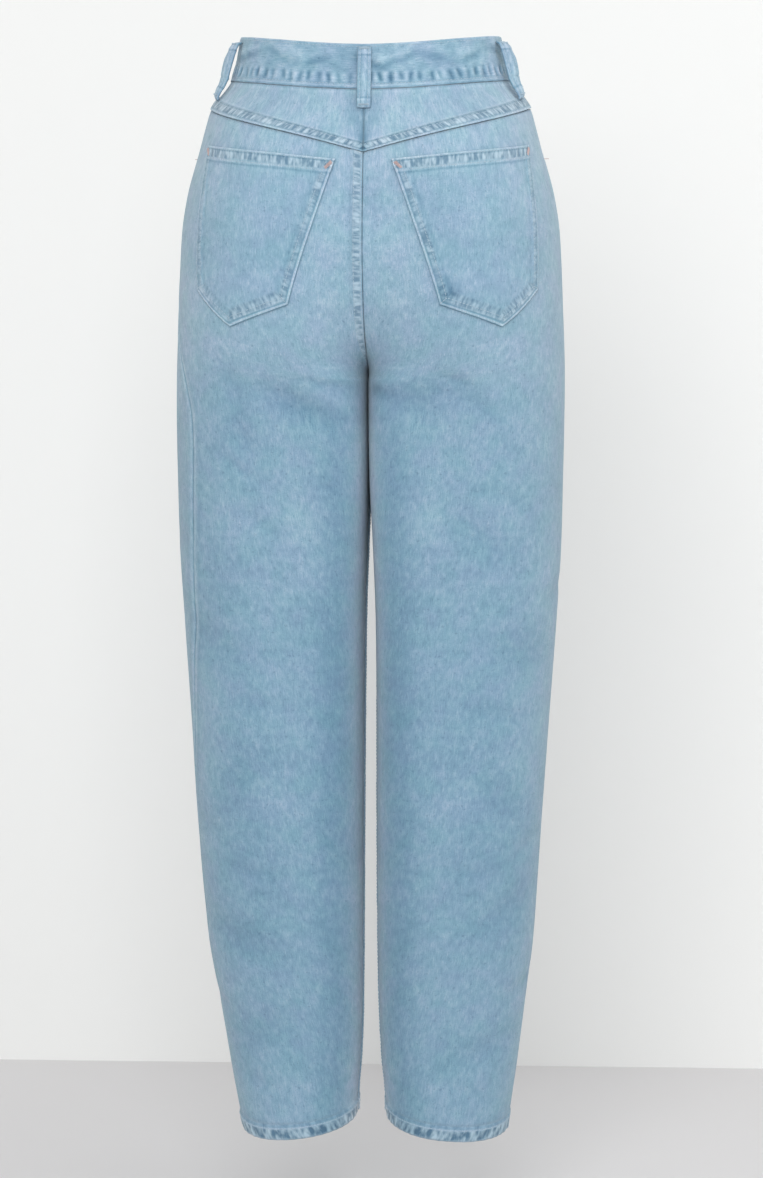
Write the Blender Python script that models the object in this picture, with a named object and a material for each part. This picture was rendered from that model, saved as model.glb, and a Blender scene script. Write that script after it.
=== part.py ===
"""High-rise balloon-leg jeans, standing open in the form that they have when worn.

The cloth is a shell. Its form is worked out in plan sections: each section is a row that runs
from the inner seam of the front, round the outseam, to the inner seam of the back. Above the
crotch the inner seams are the centre front and the centre back; below it they are the inseam.
The front of the jeans faces -Y, the wearer's left is +X, and +Z is up. The origin is the centre
of the waistband at half its height, where the body holds the jeans up.
"""

import math

import bmesh
import bpy
import numpy as np

# Driving sizes, in millimetres. A drop is how far a point lies below the band's top edge at the side.
MM = 0.001
HOLD_DROP = 20.0
BAND_SEAM = 40.0
YOKE_SEAM = 64.0
CROTCH = 307.0
HEM = 983.0
HEM_FOLD = 12.0
HEM_RISE = 1.1
SEAM_GAP = 0.3
CLOTH_WALL = 1.4
BAND_WALL = 2.8
BAND_PROUD = 0.8
BAND_EDGE_EASE = 0.7
BAND_LINES = (0.0, 1.2, 13.0, 26.0, 38.6, 39.8)
ROUNDNESS = 2.15
VEE_POWER = 1.4

# How finely the walls are drawn: points in an arc, and columns or levels in each piece.
ARC_POINTS = 60
PANEL_COLUMNS = 12
FACING_STEPS = 8
YOKE_COLUMNS = 16
YOKE_LEVELS = 3
BAND_COLUMNS = 14
UNDERLAP_COLUMNS = 20
LOOP_LEVELS = 16
POCKET_LEVELS = 10
BUTTON_STEPS = 24

# The reach over which a surface's slope is taken, down and across, and the halvings of a search.
REACH_DOWN = 2.0
REACH_ACROSS = 1.0
HALVINGS = 24

# The felled seams: a folded strip stands out along the edge of one of the two panels.
FELL_WIDTH = 10.0
FELL_RISE = 1.0
FELL_SLOPE = 1.5
SEAT_FELL_ENDS = 20.0
INSEAM_FELL_STARTS = 30.0
YOKE_LEAST_ABOVE_FELL = 1.5

# The hem ring tips: its back hangs lowest and its inner side highest.
HEM_TILT_START = 900.0
HEM_TILT_BACK = 0.20
HEM_TILT_OUT = 0.10

# The front pocket's scooped mouth, an ellipse cut out of the front panel's upper corner.
SCOOP_ACROSS = 92.0
SCOOP_DOWN = 64.0
FACING_SUNK = CLOTH_WALL + 0.35
FACING_WALL = 1.2
FACING_UNDER = 9.0

# The waistband laps over itself at the centre front, and the button closes it there.
OVERLAP = 14.0
UNDERLAP = 30.0
UNDERLAP_SINK = 3.4
UNDERLAP_EASE = 60.0
BUTTON_RADIUS = 8.5
BUTTON_HEIGHT = 3.4
BUTTON_SHANK = 5.0

# The belt loops: folded straps that stand off the band where a belt goes through.
LOOP_WIDTH = 12.5
LOOP_WALL = 1.9
LOOP_BOTTOM_BELOW_BAND = 18.0
LOOP_SEAT = 0.5
LOOP_SKEW = 0.8
LOOP_FULLNESS = 0.6

# The back pockets: patches on the back panels, their openings folded to a hem.
POCKET_WALL = 1.2
POCKET_SEAT = 0.45
POCKET_HEM = 12.0
POCKET_HEM_RISE = 0.8

DENIM = (0.29, 0.43, 0.55)
DENIM_PALE = (0.38, 0.52, 0.64)
BRASS = (0.62, 0.49, 0.33)


def table(columns, *rows):
    """A table of sizes: {column name: its values, one for each row}."""
    return dict(zip(columns.split(), np.array(rows, float).T))


SIDE = table(
    "drop half_width side_y inner_x",
    (0, 117.0, -2, 0),
    (20, 120.5, -2, 0),
    (40, 126.5, -1, 0),
    (64, 144.0, -1, 0),
    (80, 148.8, 0, 0),
    (100, 154.0, 0, 0),
    (145, 166.0, 0, 0),
    (177, 170.6, 0, 0),
    (236, 173.4, -1, 0),
    (307, 175.4, -5, 0),
    (354, 175.0, -6, 0.2),
    (400, 174.0, -6, 0.8),
    (454, 172.5, -6, 3.0),
    (530, 167.8, -5, 5.3),
    (605, 162.4, -1, 5.9),
    (691, 156.4, 5, 6.2),
    (763, 151.4, 8, 6.4),
    (818, 146.8, 9, 6.6),
    (873, 138.4, 10, 7.0),
    (927, 130.0, 11, 8.6),
    (954, 125.0, 11, 10.6),
    (983, 119.5, 11, 12.4),
)

BACK = table(
    "drop peak_x peak_y end_drop end_y crease vee roundness",
    (0, 8, 84, 11, 84, 0.0, 0.0, 2.0),
    (20, 8, 88, 31, 88, 0.0, 0.0, 2.0),
    (40, 8, 94, 51, 94, 0.0, 0.0, 2.0),
    (64, 45, 113, 107, 111.5, 0.0, 1.0, 2.0),
    (100, 64, 123, 142, 120, 0.0, 0.6, 2.0),
    (150, 76, 129, 185, 125, 0.0, 0.2, 2.0),
    (200, 80, 129, 228, 117, 0.2, 0.0, 2.0),
    (240, 83, 124, 262, 97, 0.45, 0.0, 2.15),
    (265, 84, 118, 283, 70, 0.7, 0.0, 2.3),
    (285, 85, 113, 296, 39, 0.88, 0.0, 2.7),
    (299, 87, 109, 304, 9, 0.98, 0.0, 3.5),
    (307, 87, 107, 307, -8, 1.0, 0.0, 4.4),
    (354, 88, 98, 354, -7, 1.0, 0.0, 5.0),
    (400, 88, 93, 400, -6, 1.0, 0.0, 4.8),
    (454, 88, 88, 454, -6, 1.0, 0.0, 4.2),
    (530, 87, 83, 530, -5, 1.0, 0.0, 3.5),
    (605, 84, 82, 605, -1, 1.0, 0.0, 3.1),
    (691, 81, 82, 691, 5, 1.0, 0.0, 2.8),
    (763, 79, 79, 763, 8, 1.0, 0.0, 2.5),
    (818, 77, 76, 818, 9, 1.0, 0.0, 2.4),
    (873, 73, 72, 873, 10, 1.0, 0.0, 2.3),
    (927, 69, 69, 927, 11, 1.0, 0.0, 2.2),
    (983, 66, 66, 983, 11, 1.0, 0.0, 2.1),
)

FRONT = table(
    "drop peak_x peak_y end_drop end_y crease vee roundness",
    (0, 8, -88, 12, -88, 0.0, 0.0, 2.0),
    (20, 8, -92, 33, -92, 0.0, 0.0, 2.0),
    (40, 8, -97, 54, -97, 0.0, 0.0, 2.0),
    (64, 20, -101, 80, -101, 0.0, 0.0, 2.0),
    (100, 34, -107, 116, -106, 0.0, 0.0, 2.0),
    (150, 48, -110, 166, -107, 0.0, 0.0, 2.0),
    (200, 62, -110, 213, -101, 0.1, 0.0, 2.0),
    (240, 72, -110, 250, -88, 0.35, 0.0, 2.1),
    (265, 78, -110, 274, -70, 0.65, 0.0, 2.2),
    (285, 82, -110, 291, -46, 0.85, 0.0, 2.3),
    (299, 86, -110, 302, -20, 0.97, 0.0, 2.35),
    (307, 87, -110, 307, -8, 1.0, 0.0, 2.4),
    (354, 88, -108, 354, -7, 1.0, 0.0, 2.25),
    (400, 88, -105, 400, -6, 1.0, 0.0, 2.12),
    (454, 88, -100, 454, -6, 1.0, 0.0, 2.05),
    (530, 87, -92, 530, -5, 1.0, 0.0, 2.0),
    (605, 84, -83, 605, -1, 1.0, 0.0, 2.0),
    (691, 81, -72, 691, 5, 1.0, 0.0, 2.0),
    (763, 79, -64, 763, 8, 1.0, 0.0, 2.0),
    (818, 77, -58, 818, 9, 1.0, 0.0, 2.0),
    (873, 73, -52, 873, 10, 1.0, 0.0, 2.0),
    (927, 69, -48, 927, 11, 1.0, 0.0, 2.0),
    (983, 66, -45, 983, 11, 1.0, 0.0, 2.0),
)
FACES = {"back": BACK, "front": FRONT}

# How far each leg's outer and inner edges lie beyond those of SIDE, as the wearer stands.
SWAY = table(
    "drop left_out right_out left_in right_in",
    (0, 0, 0, 0, 0),
    (236, 0, 0, 0, 0),
    (354, 2.0, 0, 0, 0),
    (530, 2.6, 0.6, 0, 0),
    (691, 2.6, 0.6, 0, 0),
    (818, 0.8, 1.8, 0, 0.6),
    (900, -1.6, 4.0, 0, 1.8),
    (983, -3.0, 6.0, 0, 3.2),
)
SIDES = {1: "left", -1: "right"}

# How far the outseam has turned from the widest line of the leg: to the back on the left leg and
# to the front on the right leg, as denim legs turn in the wash.
TWIST = table(
    "drop left right",
    (0, 0, 0),
    (200, 0, 0),
    (258, 34, -4),
    (307, 66, -9),
    (344, 76, -12),
    (416, 69, -14),
    (506, 58, -12),
    (616, 36, -8),
    (700, 16, -4),
    (780, 5, -1),
    (983, 0, 0),
)

# Soft folds. Around is the distance from the widest line, to the back (+) or the front (-).
# A fold runs from its start to its end, and rise is negative for a trough.
FOLDS = table(
    "hand around drop end_around end_drop width rise",
    (1, 151, 308, 207, 346, 12, -4.0),
    (1, 187, 314, 250, 319, 9, -2.0),
    (1, 127, 344, 141, 376, 10, -2.2),
    (1, 40, 520, 120, 560, 18, -2.2),
    (1, 120, 640, 60, 690, 18, -2.0),
    (1, 30, 790, 110, 830, 16, -2.2),
    (1, 100, 880, 40, 915, 14, -2.0),
    (-1, 255, 318, 215, 326, 8, -3.0),
    (-1, 214, 326, 176, 334, 14, -2.6),
    (-1, 150, 430, 96, 470, 15, -2.4),
    (-1, 36, 560, 116, 540, 18, -2.2),
    (-1, 110, 660, 50, 700, 18, -2.2),
    (-1, 96, 800, 34, 770, 16, -2.0),
    (-1, 34, 900, 100, 925, 13, -2.0),
    (1, -196, 262, -120, 236, 13, -4.0),
    (1, -186, 292, -96, 276, 14, -3.6),
    (1, -176, 330, -104, 344, 14, -3.2),
    (1, -60, 500, -140, 540, 18, -2.6),
    (1, -130, 600, -50, 622, 16, -3.0),
    (1, -40, 650, -120, 668, 16, -2.6),
    (1, -90, 850, -30, 880, 14, -2.4),
    (-1, -196, 258, -124, 240, 13, -4.0),
    (-1, -188, 288, -92, 270, 14, -3.8),
    (-1, -174, 326, -100, 336, 14, -3.0),
    (-1, -64, 510, -144, 530, 18, -2.6),
    (-1, -126, 592, -46, 618, 16, -3.0),
    (-1, -44, 646, -116, 660, 16, -2.6),
    (-1, -86, 860, -34, 884, 14, -2.4),
)
FOLD_EDGE = 22.0

# The belt loops: where each stands, how far below the band's edge it starts, how far it stands off
# the band between its ends, and how it turns its face to the back: by this much over its width.
LOOPS = {
    "belt_loop_back": {"hand": 1, "face": "back", "share": 1.0, "top": 3.0, "gap": 3.4, "turn": 0.0},
    "belt_loop_side_left": {"hand": 1, "face": "back", "share": 0.16, "top": 5.0, "gap": 8.0, "turn": 0.6},
    "belt_loop_side_right": {"hand": -1, "face": "back", "share": 0.16, "top": 5.0, "gap": 8.0, "turn": 0.6},
    "belt_loop_front_left": {"hand": 1, "face": "front", "share": 0.60, "top": 3.0, "gap": 3.8, "turn": 0.0},
    "belt_loop_front_right": {"hand": -1, "face": "front", "share": 0.60, "top": 3.0, "gap": 3.8, "turn": 0.0},
}

# The back pocket's corners: the distance round from the centre back, and the drop.
POCKET = {
    "top_inner": (25.5, 113.5),
    "top_outer": (172.0, 99.5),
    "side_low": (168.0, 227.0),
    "tip": (130.0, 259.5),
    "low_inner": (69.5, 240.0),
}
# The left one is eased in a little and the right one a little out, as the cloth lies when worn.
POCKET_EASE = {1: 0.965, -1: 1.015}


def smooth(share):
    """Eases 0 to 1, level at both ends."""
    share = np.clip(share, 0, 1)
    return share * share * (3 - 2 * share)


def read(columns, column, drop):
    """A column of a table at any drop, on a curve that doesn't overshoot its rows."""
    xs, ys = columns["drop"], columns[column]
    drop = min(max(drop, xs[0]), xs[-1])
    steps, rises = np.diff(xs), np.diff(ys)
    slopes = rises / steps
    i = min(int(np.searchsorted(xs, drop, side="right")) - 1, len(steps) - 1)
    tangents = []
    for k in (i, i + 1):
        before = slopes[max(k - 1, 0)]
        after = slopes[min(k, len(slopes) - 1)]
        level = before * after <= 0
        tangents.append(0.0 if level else 2 * before * after / (before + after))
    t = (drop - xs[i]) / steps[i]
    start = (1 + 2 * t) * (1 - t) ** 2 * ys[i] + t * (1 - t) ** 2 * steps[i] * tangents[0]
    end = t * t * (3 - 2 * t) * ys[i + 1] + t * t * (t - 1) * steps[i] * tangents[1]
    return start + end


def half_row(hand, face, drop):
    """Points of a row from the widest line to the inner seam, as if on the left, in millimetres."""
    values = {name: read(FACES[face], name, drop) for name in FACES[face]}
    side_x = read(SIDE, "half_width", drop) + read(SWAY, f"{SIDES[hand]}_out", drop)
    side_y = read(SIDE, "side_y", drop)
    end_x = read(SIDE, "inner_x", drop) + read(SWAY, f"{SIDES[hand]}_in", drop)
    peak_x, peak_y = values["peak_x"], values["peak_y"]
    end_y, crease = values["end_y"], values["crease"]
    turn = np.linspace(0, math.pi / 2, ARC_POINTS)
    outer_x = peak_x + (side_x - peak_x) * np.cos(turn) ** (2 / ROUNDNESS)
    outer_y = side_y + (peak_y - side_y) * np.sin(turn) ** (2 / ROUNDNESS)
    share = np.linspace(0, 1, ARC_POINTS)[1:]
    quarter = share * math.pi / 2
    power = 2 / values["roundness"]
    across = share + crease * (np.sin(quarter) ** power - share)
    bridged = (1 + np.cos(math.pi * share)) / 2
    height = bridged + crease * (np.clip(np.cos(quarter), 0, 1) ** power - bridged)
    inner_x = peak_x + (end_x - peak_x) * across
    inner_y = end_y + (peak_y - end_y) * height
    plan = np.column_stack([np.append(outer_x, inner_x), np.append(outer_y, inner_y)])
    along = np.append(0, np.cumsum(np.linalg.norm(np.diff(plan, axis=0), axis=1)))
    along = along / along[-1]
    ease = smooth(along) + values["vee"] * (along**VEE_POWER - smooth(along))
    drops = drop + (values["end_drop"] - drop) * ease
    tilt = smooth((drop - HEM_TILT_START) / (HEM - HEM_TILT_START))
    centre = (side_x + end_x) / 2
    drops += tilt * HEM_TILT_BACK * (plan[:, 1] - side_y)
    drops += tilt * HEM_TILT_OUT * (plan[:, 0] - centre)
    return np.column_stack([plan, HOLD_DROP - drops])


def whole_row(hand, drop):
    """A row's distances from the widest line, front below 0 and back above, and its points."""
    halves = {face: half_row(hand, face, drop) for face in FACES}
    lengths = {}
    for face, points in halves.items():
        steps = np.linalg.norm(np.diff(points, axis=0), axis=1)
        lengths[face] = np.append(0, np.cumsum(steps))
    around = np.append(-lengths["front"][::-1], lengths["back"][1:])
    return around, np.vstack([halves["front"][::-1], halves["back"][1:]])


# A row for each whole millimetre of drop, worked out once.
ROWS = {hand: [whole_row(hand, drop) for drop in range(int(HEM) + 1)] for hand in SIDES}


def row(hand, drop):
    """The row at any drop, between two whole millimetres."""
    i = min(int(drop), len(ROWS[hand]) - 2)
    t = drop - i
    (around, points), (next_around, next_points) = ROWS[hand][i : i + 2]
    return around + t * (next_around - around), points + t * (next_points - points)


def seam(hand, drop):
    """Where the outseam runs, as a distance from the widest line."""
    return read(TWIST, SIDES[hand], drop)


def length(hand, face, drop):
    """How long a panel is across, from the outseam to its inner seam."""
    around, _ = row(hand, drop)
    end = around[-1] if face == "back" else around[0]
    return abs(end - seam(hand, drop))


def place(hand, face, share, drop):
    """Distance round and point at a share of the panel's width, 0 at the outseam and 1 inside."""
    around, points = row(hand, drop)
    start = seam(hand, drop)
    end = around[-1] if face == "back" else around[0]
    at = start + share * (end - start)
    return at, np.array([np.interp(at, around, points[:, k]) for k in range(3)])


def fold_rise(hand, at, drop):
    """How far the soft folds move the cloth out at this place."""
    around, _ = row(hand, drop)
    inside = min(around[-1] - at, at - around[0])
    rise = 0.0
    for i in np.flatnonzero(FOLDS["hand"] == hand):
        start = np.array([FOLDS["around"][i], FOLDS["drop"][i]])
        run = np.array([FOLDS["end_around"][i], FOLDS["end_drop"][i]]) - start
        share = np.clip(np.dot([at, drop] - start, run) / np.dot(run, run), 0, 1)
        away = np.linalg.norm([at, drop] - start - share * run) / FOLDS["width"][i]
        swell = 0.35 + 0.65 * math.sin(math.pi * share)
        rise += FOLDS["rise"][i] * swell * math.exp(-away * away)
    return rise * float(smooth(inside / FOLD_EDGE))


def skin(hand, face, share, drop, lift=0.0):
    """A point of the cloth's middle surface moved out by lift, and its outward normal."""
    share = min(max(share, 0.0), 1.0)
    at, point = place(hand, face, share, drop)
    step = REACH_ACROSS / length(hand, face, drop)
    before = place(hand, face, max(share - step, 0), drop)[1]
    after = place(hand, face, min(share + step, 1), drop)[1]
    above = place(hand, face, share, max(drop - REACH_DOWN, 0))[1]
    below = place(hand, face, share, min(drop + REACH_DOWN, HEM))[1]
    normal = np.cross(below - above, after - before)
    normal *= 1.0 if face == "back" else -1.0
    normal /= np.linalg.norm(normal)
    moved = point + (lift + fold_rise(hand, at, drop)) * normal
    return moved, normal


def finish_side(hand, points):
    """Keeps a left-half point clear of the middle plane, then mirrors it for the right half."""
    points = np.array(points)
    points[..., 0] = np.maximum(points[..., 0], SEAM_GAP / 2)
    return points * [hand, 1, 1]


def add_material(name, colour, roughness, metallic=0.0):
    """A plain material with a colour and a gloss."""
    material = bpy.data.materials.new(name)
    material.use_nodes = True
    shader = material.node_tree.nodes["Principled BSDF"]
    shader.inputs["Base Color"].default_value = (*colour, 1)
    shader.inputs["Roughness"].default_value = roughness
    shader.inputs["Metallic"].default_value = metallic
    return material


def add_object(name, shape, material):
    """Makes a named object of a bmesh, with its faces turned outwards."""
    bmesh.ops.recalc_face_normals(shape, faces=shape.faces)
    mesh = bpy.data.meshes.new(name)
    shape.to_mesh(mesh)
    shape.free()
    mesh.materials.append(material)
    mesh.shade_smooth()
    mesh.set_sharp_from_angle(angle=math.radians(40))
    made = bpy.data.objects.new(name, mesh)
    bpy.context.scene.collection.objects.link(made)
    return made


def wall(name, outer, inner, material):
    """A closed cloth wall between two grids of points, [row, column], in millimetres."""
    rows, columns = outer.shape[:2]
    shape = bmesh.new()
    skins = []
    for grid in (outer, inner):
        skins.append([[shape.verts.new(p * MM) for p in line] for line in grid])
    for made in skins:
        for i in range(rows - 1):
            for j in range(columns - 1):
                shape.faces.new((made[i][j], made[i + 1][j], made[i + 1][j + 1], made[i][j + 1]))
    out, back = skins
    rim = [(0, j) for j in range(columns)]
    rim += [(i, columns - 1) for i in range(1, rows)]
    rim += [(rows - 1, j) for j in range(columns - 2, -1, -1)]
    rim += [(i, 0) for i in range(rows - 2, 0, -1)]
    for (i, j), (k, m) in zip(rim, rim[1:] + rim[:1]):
        shape.faces.new((out[i][j], out[k][m], back[k][m], back[i][j]))
    return add_object(name, shape, material)


def fell_rise(distance):
    """How far a felled strip stands out at this distance from the panel's edge."""
    return FELL_RISE * float(np.clip((FELL_WIDTH + FELL_SLOPE - distance) / FELL_SLOPE, 0, 1))


def spread(start, end, count):
    """Evenly spaced values from start to end, both ends included."""
    return list(np.linspace(start, end, count + 1))


def panel(name, hand, face, drops, start_of, fell_on, material):
    """A front or back panel: rows at the drops, each from start_of(drop) to the inner seam."""
    outer, inner = [], []
    edge = SEAM_GAP / 2
    for drop in drops:
        across = length(hand, face, drop)
        start = start_of(drop)
        band = [across - FELL_WIDTH - FELL_SLOPE, across - FELL_WIDTH, across - edge]
        stations = spread(start, band[0], PANEL_COLUMNS) + band[1:]
        line_out, line_in = [], []
        for station in stations:
            raised = fell_rise(across - station) * fell_on(drop)
            raised += HEM_RISE * float(drop > HEM - HEM_FOLD - 0.1)
            point, normal = skin(hand, face, station / across, drop)
            line_out.append(point + raised * normal)
            line_in.append(point - CLOTH_WALL * normal)
        outer.append(line_out)
        inner.append(line_in)
    return wall(name, finish_side(hand, outer), finish_side(hand, inner), material)


def seat_fell(drop):
    """The seat seam's fell: full above the crotch, gone below it."""
    return float(1 - smooth((drop - CROTCH + SEAT_FELL_ENDS) / SEAT_FELL_ENDS))


def inseam_fell(drop):
    """The inseam's fell: full on the leg, gone above the crotch."""
    return float(smooth((drop - CROTCH) / INSEAM_FELL_STARTS))


def no_fell(drop):
    """A panel whose edge lies under its neighbour's fell has none of its own."""
    return 0.0


def scoop(drop, beyond=0.0):
    """How far the pocket mouth's edge, or a line that lies beyond it, is from the outseam."""
    down = (drop - BAND_SEAM) / (SCOOP_DOWN + beyond)
    return (SCOOP_ACROSS + beyond) * math.sqrt(max(0.0, 1 - down * down))


def shared_drops():
    """The rows below the pocket mouth, the same on both panels, which meet along the outseam."""
    drops = spread(BAND_SEAM + SCOOP_DOWN, 240, 7) + [256, 272, 286, 298, CROTCH]
    drops += spread(CROTCH, 470, 10)[1:] + spread(470, 700, 9)[1:]
    drops += spread(700, HEM - HEM_FOLD - 1.5, 9)[1:]
    return drops + [HEM - HEM_FOLD, HEM]


def back_panel(hand, material):
    top = YOKE_SEAM + 0.2
    drops = spread(top, BAND_SEAM + SCOOP_DOWN, 3)[:-1] + shared_drops()
    fell_on = seat_fell if hand > 0 else no_fell

    def start_of(drop):
        return SEAM_GAP / 2

    panel(f"back_panel_{SIDES[hand]}", hand, "back", drops, start_of, fell_on, material)


def front_panel(hand, material):
    drops = [BAND_SEAM + 0.2, 52, 64, 76, 86, 94, 99.5, 102.5] + shared_drops()

    def start_of(drop):
        return max(scoop(drop), SEAM_GAP / 2)

    panel(f"front_panel_{SIDES[hand]}", hand, "front", drops, start_of, inseam_fell, material)


def pocket_facing(hand, material):
    """The facing that closes the front pocket's mouth from under the front panel's edge."""
    drops = spread(BAND_SEAM + 0.2, BAND_SEAM + SCOOP_DOWN + FACING_UNDER - 2, FACING_STEPS)
    outer, inner = [], []
    for drop in drops:
        across = length(hand, "front", drop)
        line_out, line_in = [], []
        for station in spread(SEAM_GAP / 2, scoop(drop, FACING_UNDER), FACING_STEPS):
            point, normal = skin(hand, "front", station / across, drop)
            line_out.append(point - FACING_SUNK * normal)
            line_in.append(point - (FACING_SUNK + FACING_WALL) * normal)
        outer.append(line_out)
        inner.append(line_in)
    name = f"pocket_facing_{SIDES[hand]}"
    wall(name, finish_side(hand, outer), finish_side(hand, inner), material)


def yoke(hand, material):
    """The back yoke, its lower edge folded over the back panel in a felled strip."""
    outer, inner = [], []
    top, bottom = BAND_SEAM + 0.2, YOKE_SEAM - 0.2
    across = length(hand, "back", top)
    edge = SEAM_GAP / 2
    columns = spread(edge / across, 1 - edge / across, YOKE_COLUMNS)
    heights = []
    for share in columns:
        high = place(hand, "back", share, top)[1]
        low = place(hand, "back", share, bottom)[1]
        heights.append(high[2] - low[2])
    strip = [FELL_WIDTH + FELL_SLOPE, FELL_WIDTH, 0.0]
    for level in range(YOKE_LEVELS + len(strip)):
        line_out, line_in = [], []
        for share, height in zip(columns, heights):
            fold = min(strip[0], height - YOKE_LEAST_ABOVE_FELL)
            if level < YOKE_LEVELS:
                up = fold + (height - fold) * (1 - level / YOKE_LEVELS)
            else:
                up = strip[level - YOKE_LEVELS] * fold / strip[0]
            drop = bottom - (bottom - top) * up / height
            point, normal = skin(hand, "back", share, drop)
            raised = FELL_RISE if level > YOKE_LEVELS else 0.0
            line_out.append(point + raised * normal)
            line_in.append(point - CLOTH_WALL * normal)
        outer.append(line_out)
        inner.append(line_in)
    wall(f"yoke_{SIDES[hand]}", finish_side(hand, outer), finish_side(hand, inner), material)


def band_stations():
    """The band's stations, (hand, face, share, inward), from the overlap's end round to the underlap's."""
    across = length(1, "front", HOLD_DROP)
    over, under = OVERLAP / across, UNDERLAP / across
    stations = [(-1, "front", 1 - over * (1 - k / 2), 0.0) for k in range(2)]
    stations += [(1, "front", share, 0.0) for share in spread(1, 0, BAND_COLUMNS)]
    stations += [(1, "back", share, 0.0) for share in spread(0, 1, BAND_COLUMNS)[1:]]
    stations += [(-1, "back", share, 0.0) for share in spread(1, 0, BAND_COLUMNS)[1:]]
    for share in spread(0, 1, UNDERLAP_COLUMNS)[1:]:
        past = (share - (1 - (OVERLAP + UNDERLAP_EASE) / across)) * across / UNDERLAP_EASE
        stations.append((-1, "front", share, UNDERLAP_SINK * float(smooth(past))))
    stations += [(1, "front", 1 - under * k / 3, UNDERLAP_SINK) for k in (1, 2, 3)]
    return stations


def waistband(material):
    """The straight band: one strip whose ends lap at the centre front."""
    outer, inner = [], []
    for drop in BAND_LINES:
        ease = BAND_EDGE_EASE if drop in (BAND_LINES[0], BAND_LINES[-1]) else 0.0
        line_out, line_in = [], []
        for hand, face, share, inward in band_stations():
            point, normal = skin(hand, face, share, drop)
            if share == 1:
                point[0] = 0.0
                normal[0] = 0.0
            proud = BAND_PROUD - inward - ease
            deep = BAND_PROUD - BAND_WALL - inward + ease
            line_out.append((point + proud * normal) * [hand, 1, 1])
            line_in.append((point + deep * normal) * [hand, 1, 1])
        outer.append(line_out)
        inner.append(line_in)
    wall("waistband", np.array(outer), np.array(inner), material)


def belt_loop(name, place_on, material):
    """A folded strap, sewn down at both ends and standing off the band between them."""
    hand, face = place_on["hand"], place_on["face"]
    outer, inner = [], []
    bottom = BAND_SEAM + LOOP_BOTTOM_BELOW_BAND
    for k, lower in enumerate(spread(place_on["top"], bottom, LOOP_LEVELS)):
        line_out, line_in = [], []
        for aside in (-LOOP_WIDTH / 2, 0.0, LOOP_WIDTH / 2):
            drop = drop_at(hand, face, place_on["share"], lower)
            share = place_on["share"] + aside / length(hand, face, drop)
            mirrored = share > 1
            point, normal = skin(hand, face, 2 - share if mirrored else share, drop)
            if mirrored:
                point, normal = point * [-1, 1, 1], normal * [-1, 1, 1]
            on_band = float(1 - smooth((drop - BAND_SEAM + 2) / 4))
            base = LOOP_SEAT + BAND_PROUD * on_band
            base += FELL_RISE * float(face == "back" and drop > BAND_SEAM + 0.5)
            swell = math.sin(math.pi * (k / LOOP_LEVELS) ** LOOP_SKEW)
            lift = base
            if 0 < k < LOOP_LEVELS:
                lift += (place_on["gap"] - place_on["turn"] * aside) * swell**LOOP_FULLNESS
            line_out.append(point + (lift + LOOP_WALL) * normal)
            line_in.append(point + lift * normal)
        outer.append(line_out)
        inner.append(line_in)
    outer = np.array(outer) * [hand, 1, 1]
    inner = np.array(inner) * [hand, 1, 1]
    wall(name, outer, inner, material)


def drop_at(hand, face, share, wanted):
    """The row that reaches the wanted height above or below the band's top at this share."""
    top = place(hand, face, share, 0.0)[1][2]
    low, high = 0.0, CROTCH
    for _ in range(HALVINGS):
        middle = (low + high) / 2
        if top - place(hand, face, share, middle)[1][2] < wanted:
            low = middle
        else:
            high = middle
    return (low + high) / 2


def on_back(hand, from_centre, wanted_drop):
    """(share, row's drop) of a point of the back at a distance round from the centre back."""
    low, high = YOKE_SEAM, CROTCH
    for _ in range(HALVINGS):
        middle = (low + high) / 2
        share = 1 - from_centre / length(hand, "back", middle)
        if HOLD_DROP - place(hand, "back", share, middle)[1][2] < wanted_drop:
            low = middle
        else:
            high = middle
    return 1 - from_centre / length(hand, "back", low), low


def back_pocket(hand, material):
    """A patch pocket: its points are the back panel's, moved out."""
    corners = {name: np.array(at) * (POCKET_EASE[hand], 1) for name, at in POCKET.items()}
    side_span = corners["side_low"][0] - corners["low_inner"][0]
    tip_share = (corners["tip"][0] - corners["low_inner"][0]) / side_span
    shares = spread(0, tip_share, 8) + spread(tip_share, 1, 6)[1:]
    outer, inner = [], []
    height = corners["low_inner"][1] - corners["top_inner"][1]
    downs = [0, (POCKET_HEM - 0.2) / height, (POCKET_HEM + 0.8) / height]
    downs += spread(downs[-1], 1, POCKET_LEVELS)[1:]
    for level, down in enumerate(downs):
        line_out, line_in = [], []
        for share in shares:
            top = corners["top_inner"] * (1 - share) + corners["top_outer"] * share
            if share <= tip_share:
                part = share / tip_share
                low = corners["low_inner"] * (1 - part) + corners["tip"] * part
            else:
                part = (share - tip_share) / (1 - tip_share)
                low = corners["tip"] * (1 - part) + corners["side_low"] * part
            from_centre, wanted = top * (1 - down) + low * down
            across, drop = on_back(hand, from_centre, wanted)
            point, normal = skin(hand, "back", across, drop)
            raised = POCKET_HEM_RISE if level < 2 else 0.0
            line_out.append(point + (POCKET_SEAT + POCKET_WALL + raised) * normal)
            line_in.append(point + POCKET_SEAT * normal)
        outer.append(line_out)
        inner.append(line_in)
    wall(f"back_pocket_{SIDES[hand]}", finish_side(hand, outer), finish_side(hand, inner), material)


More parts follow.
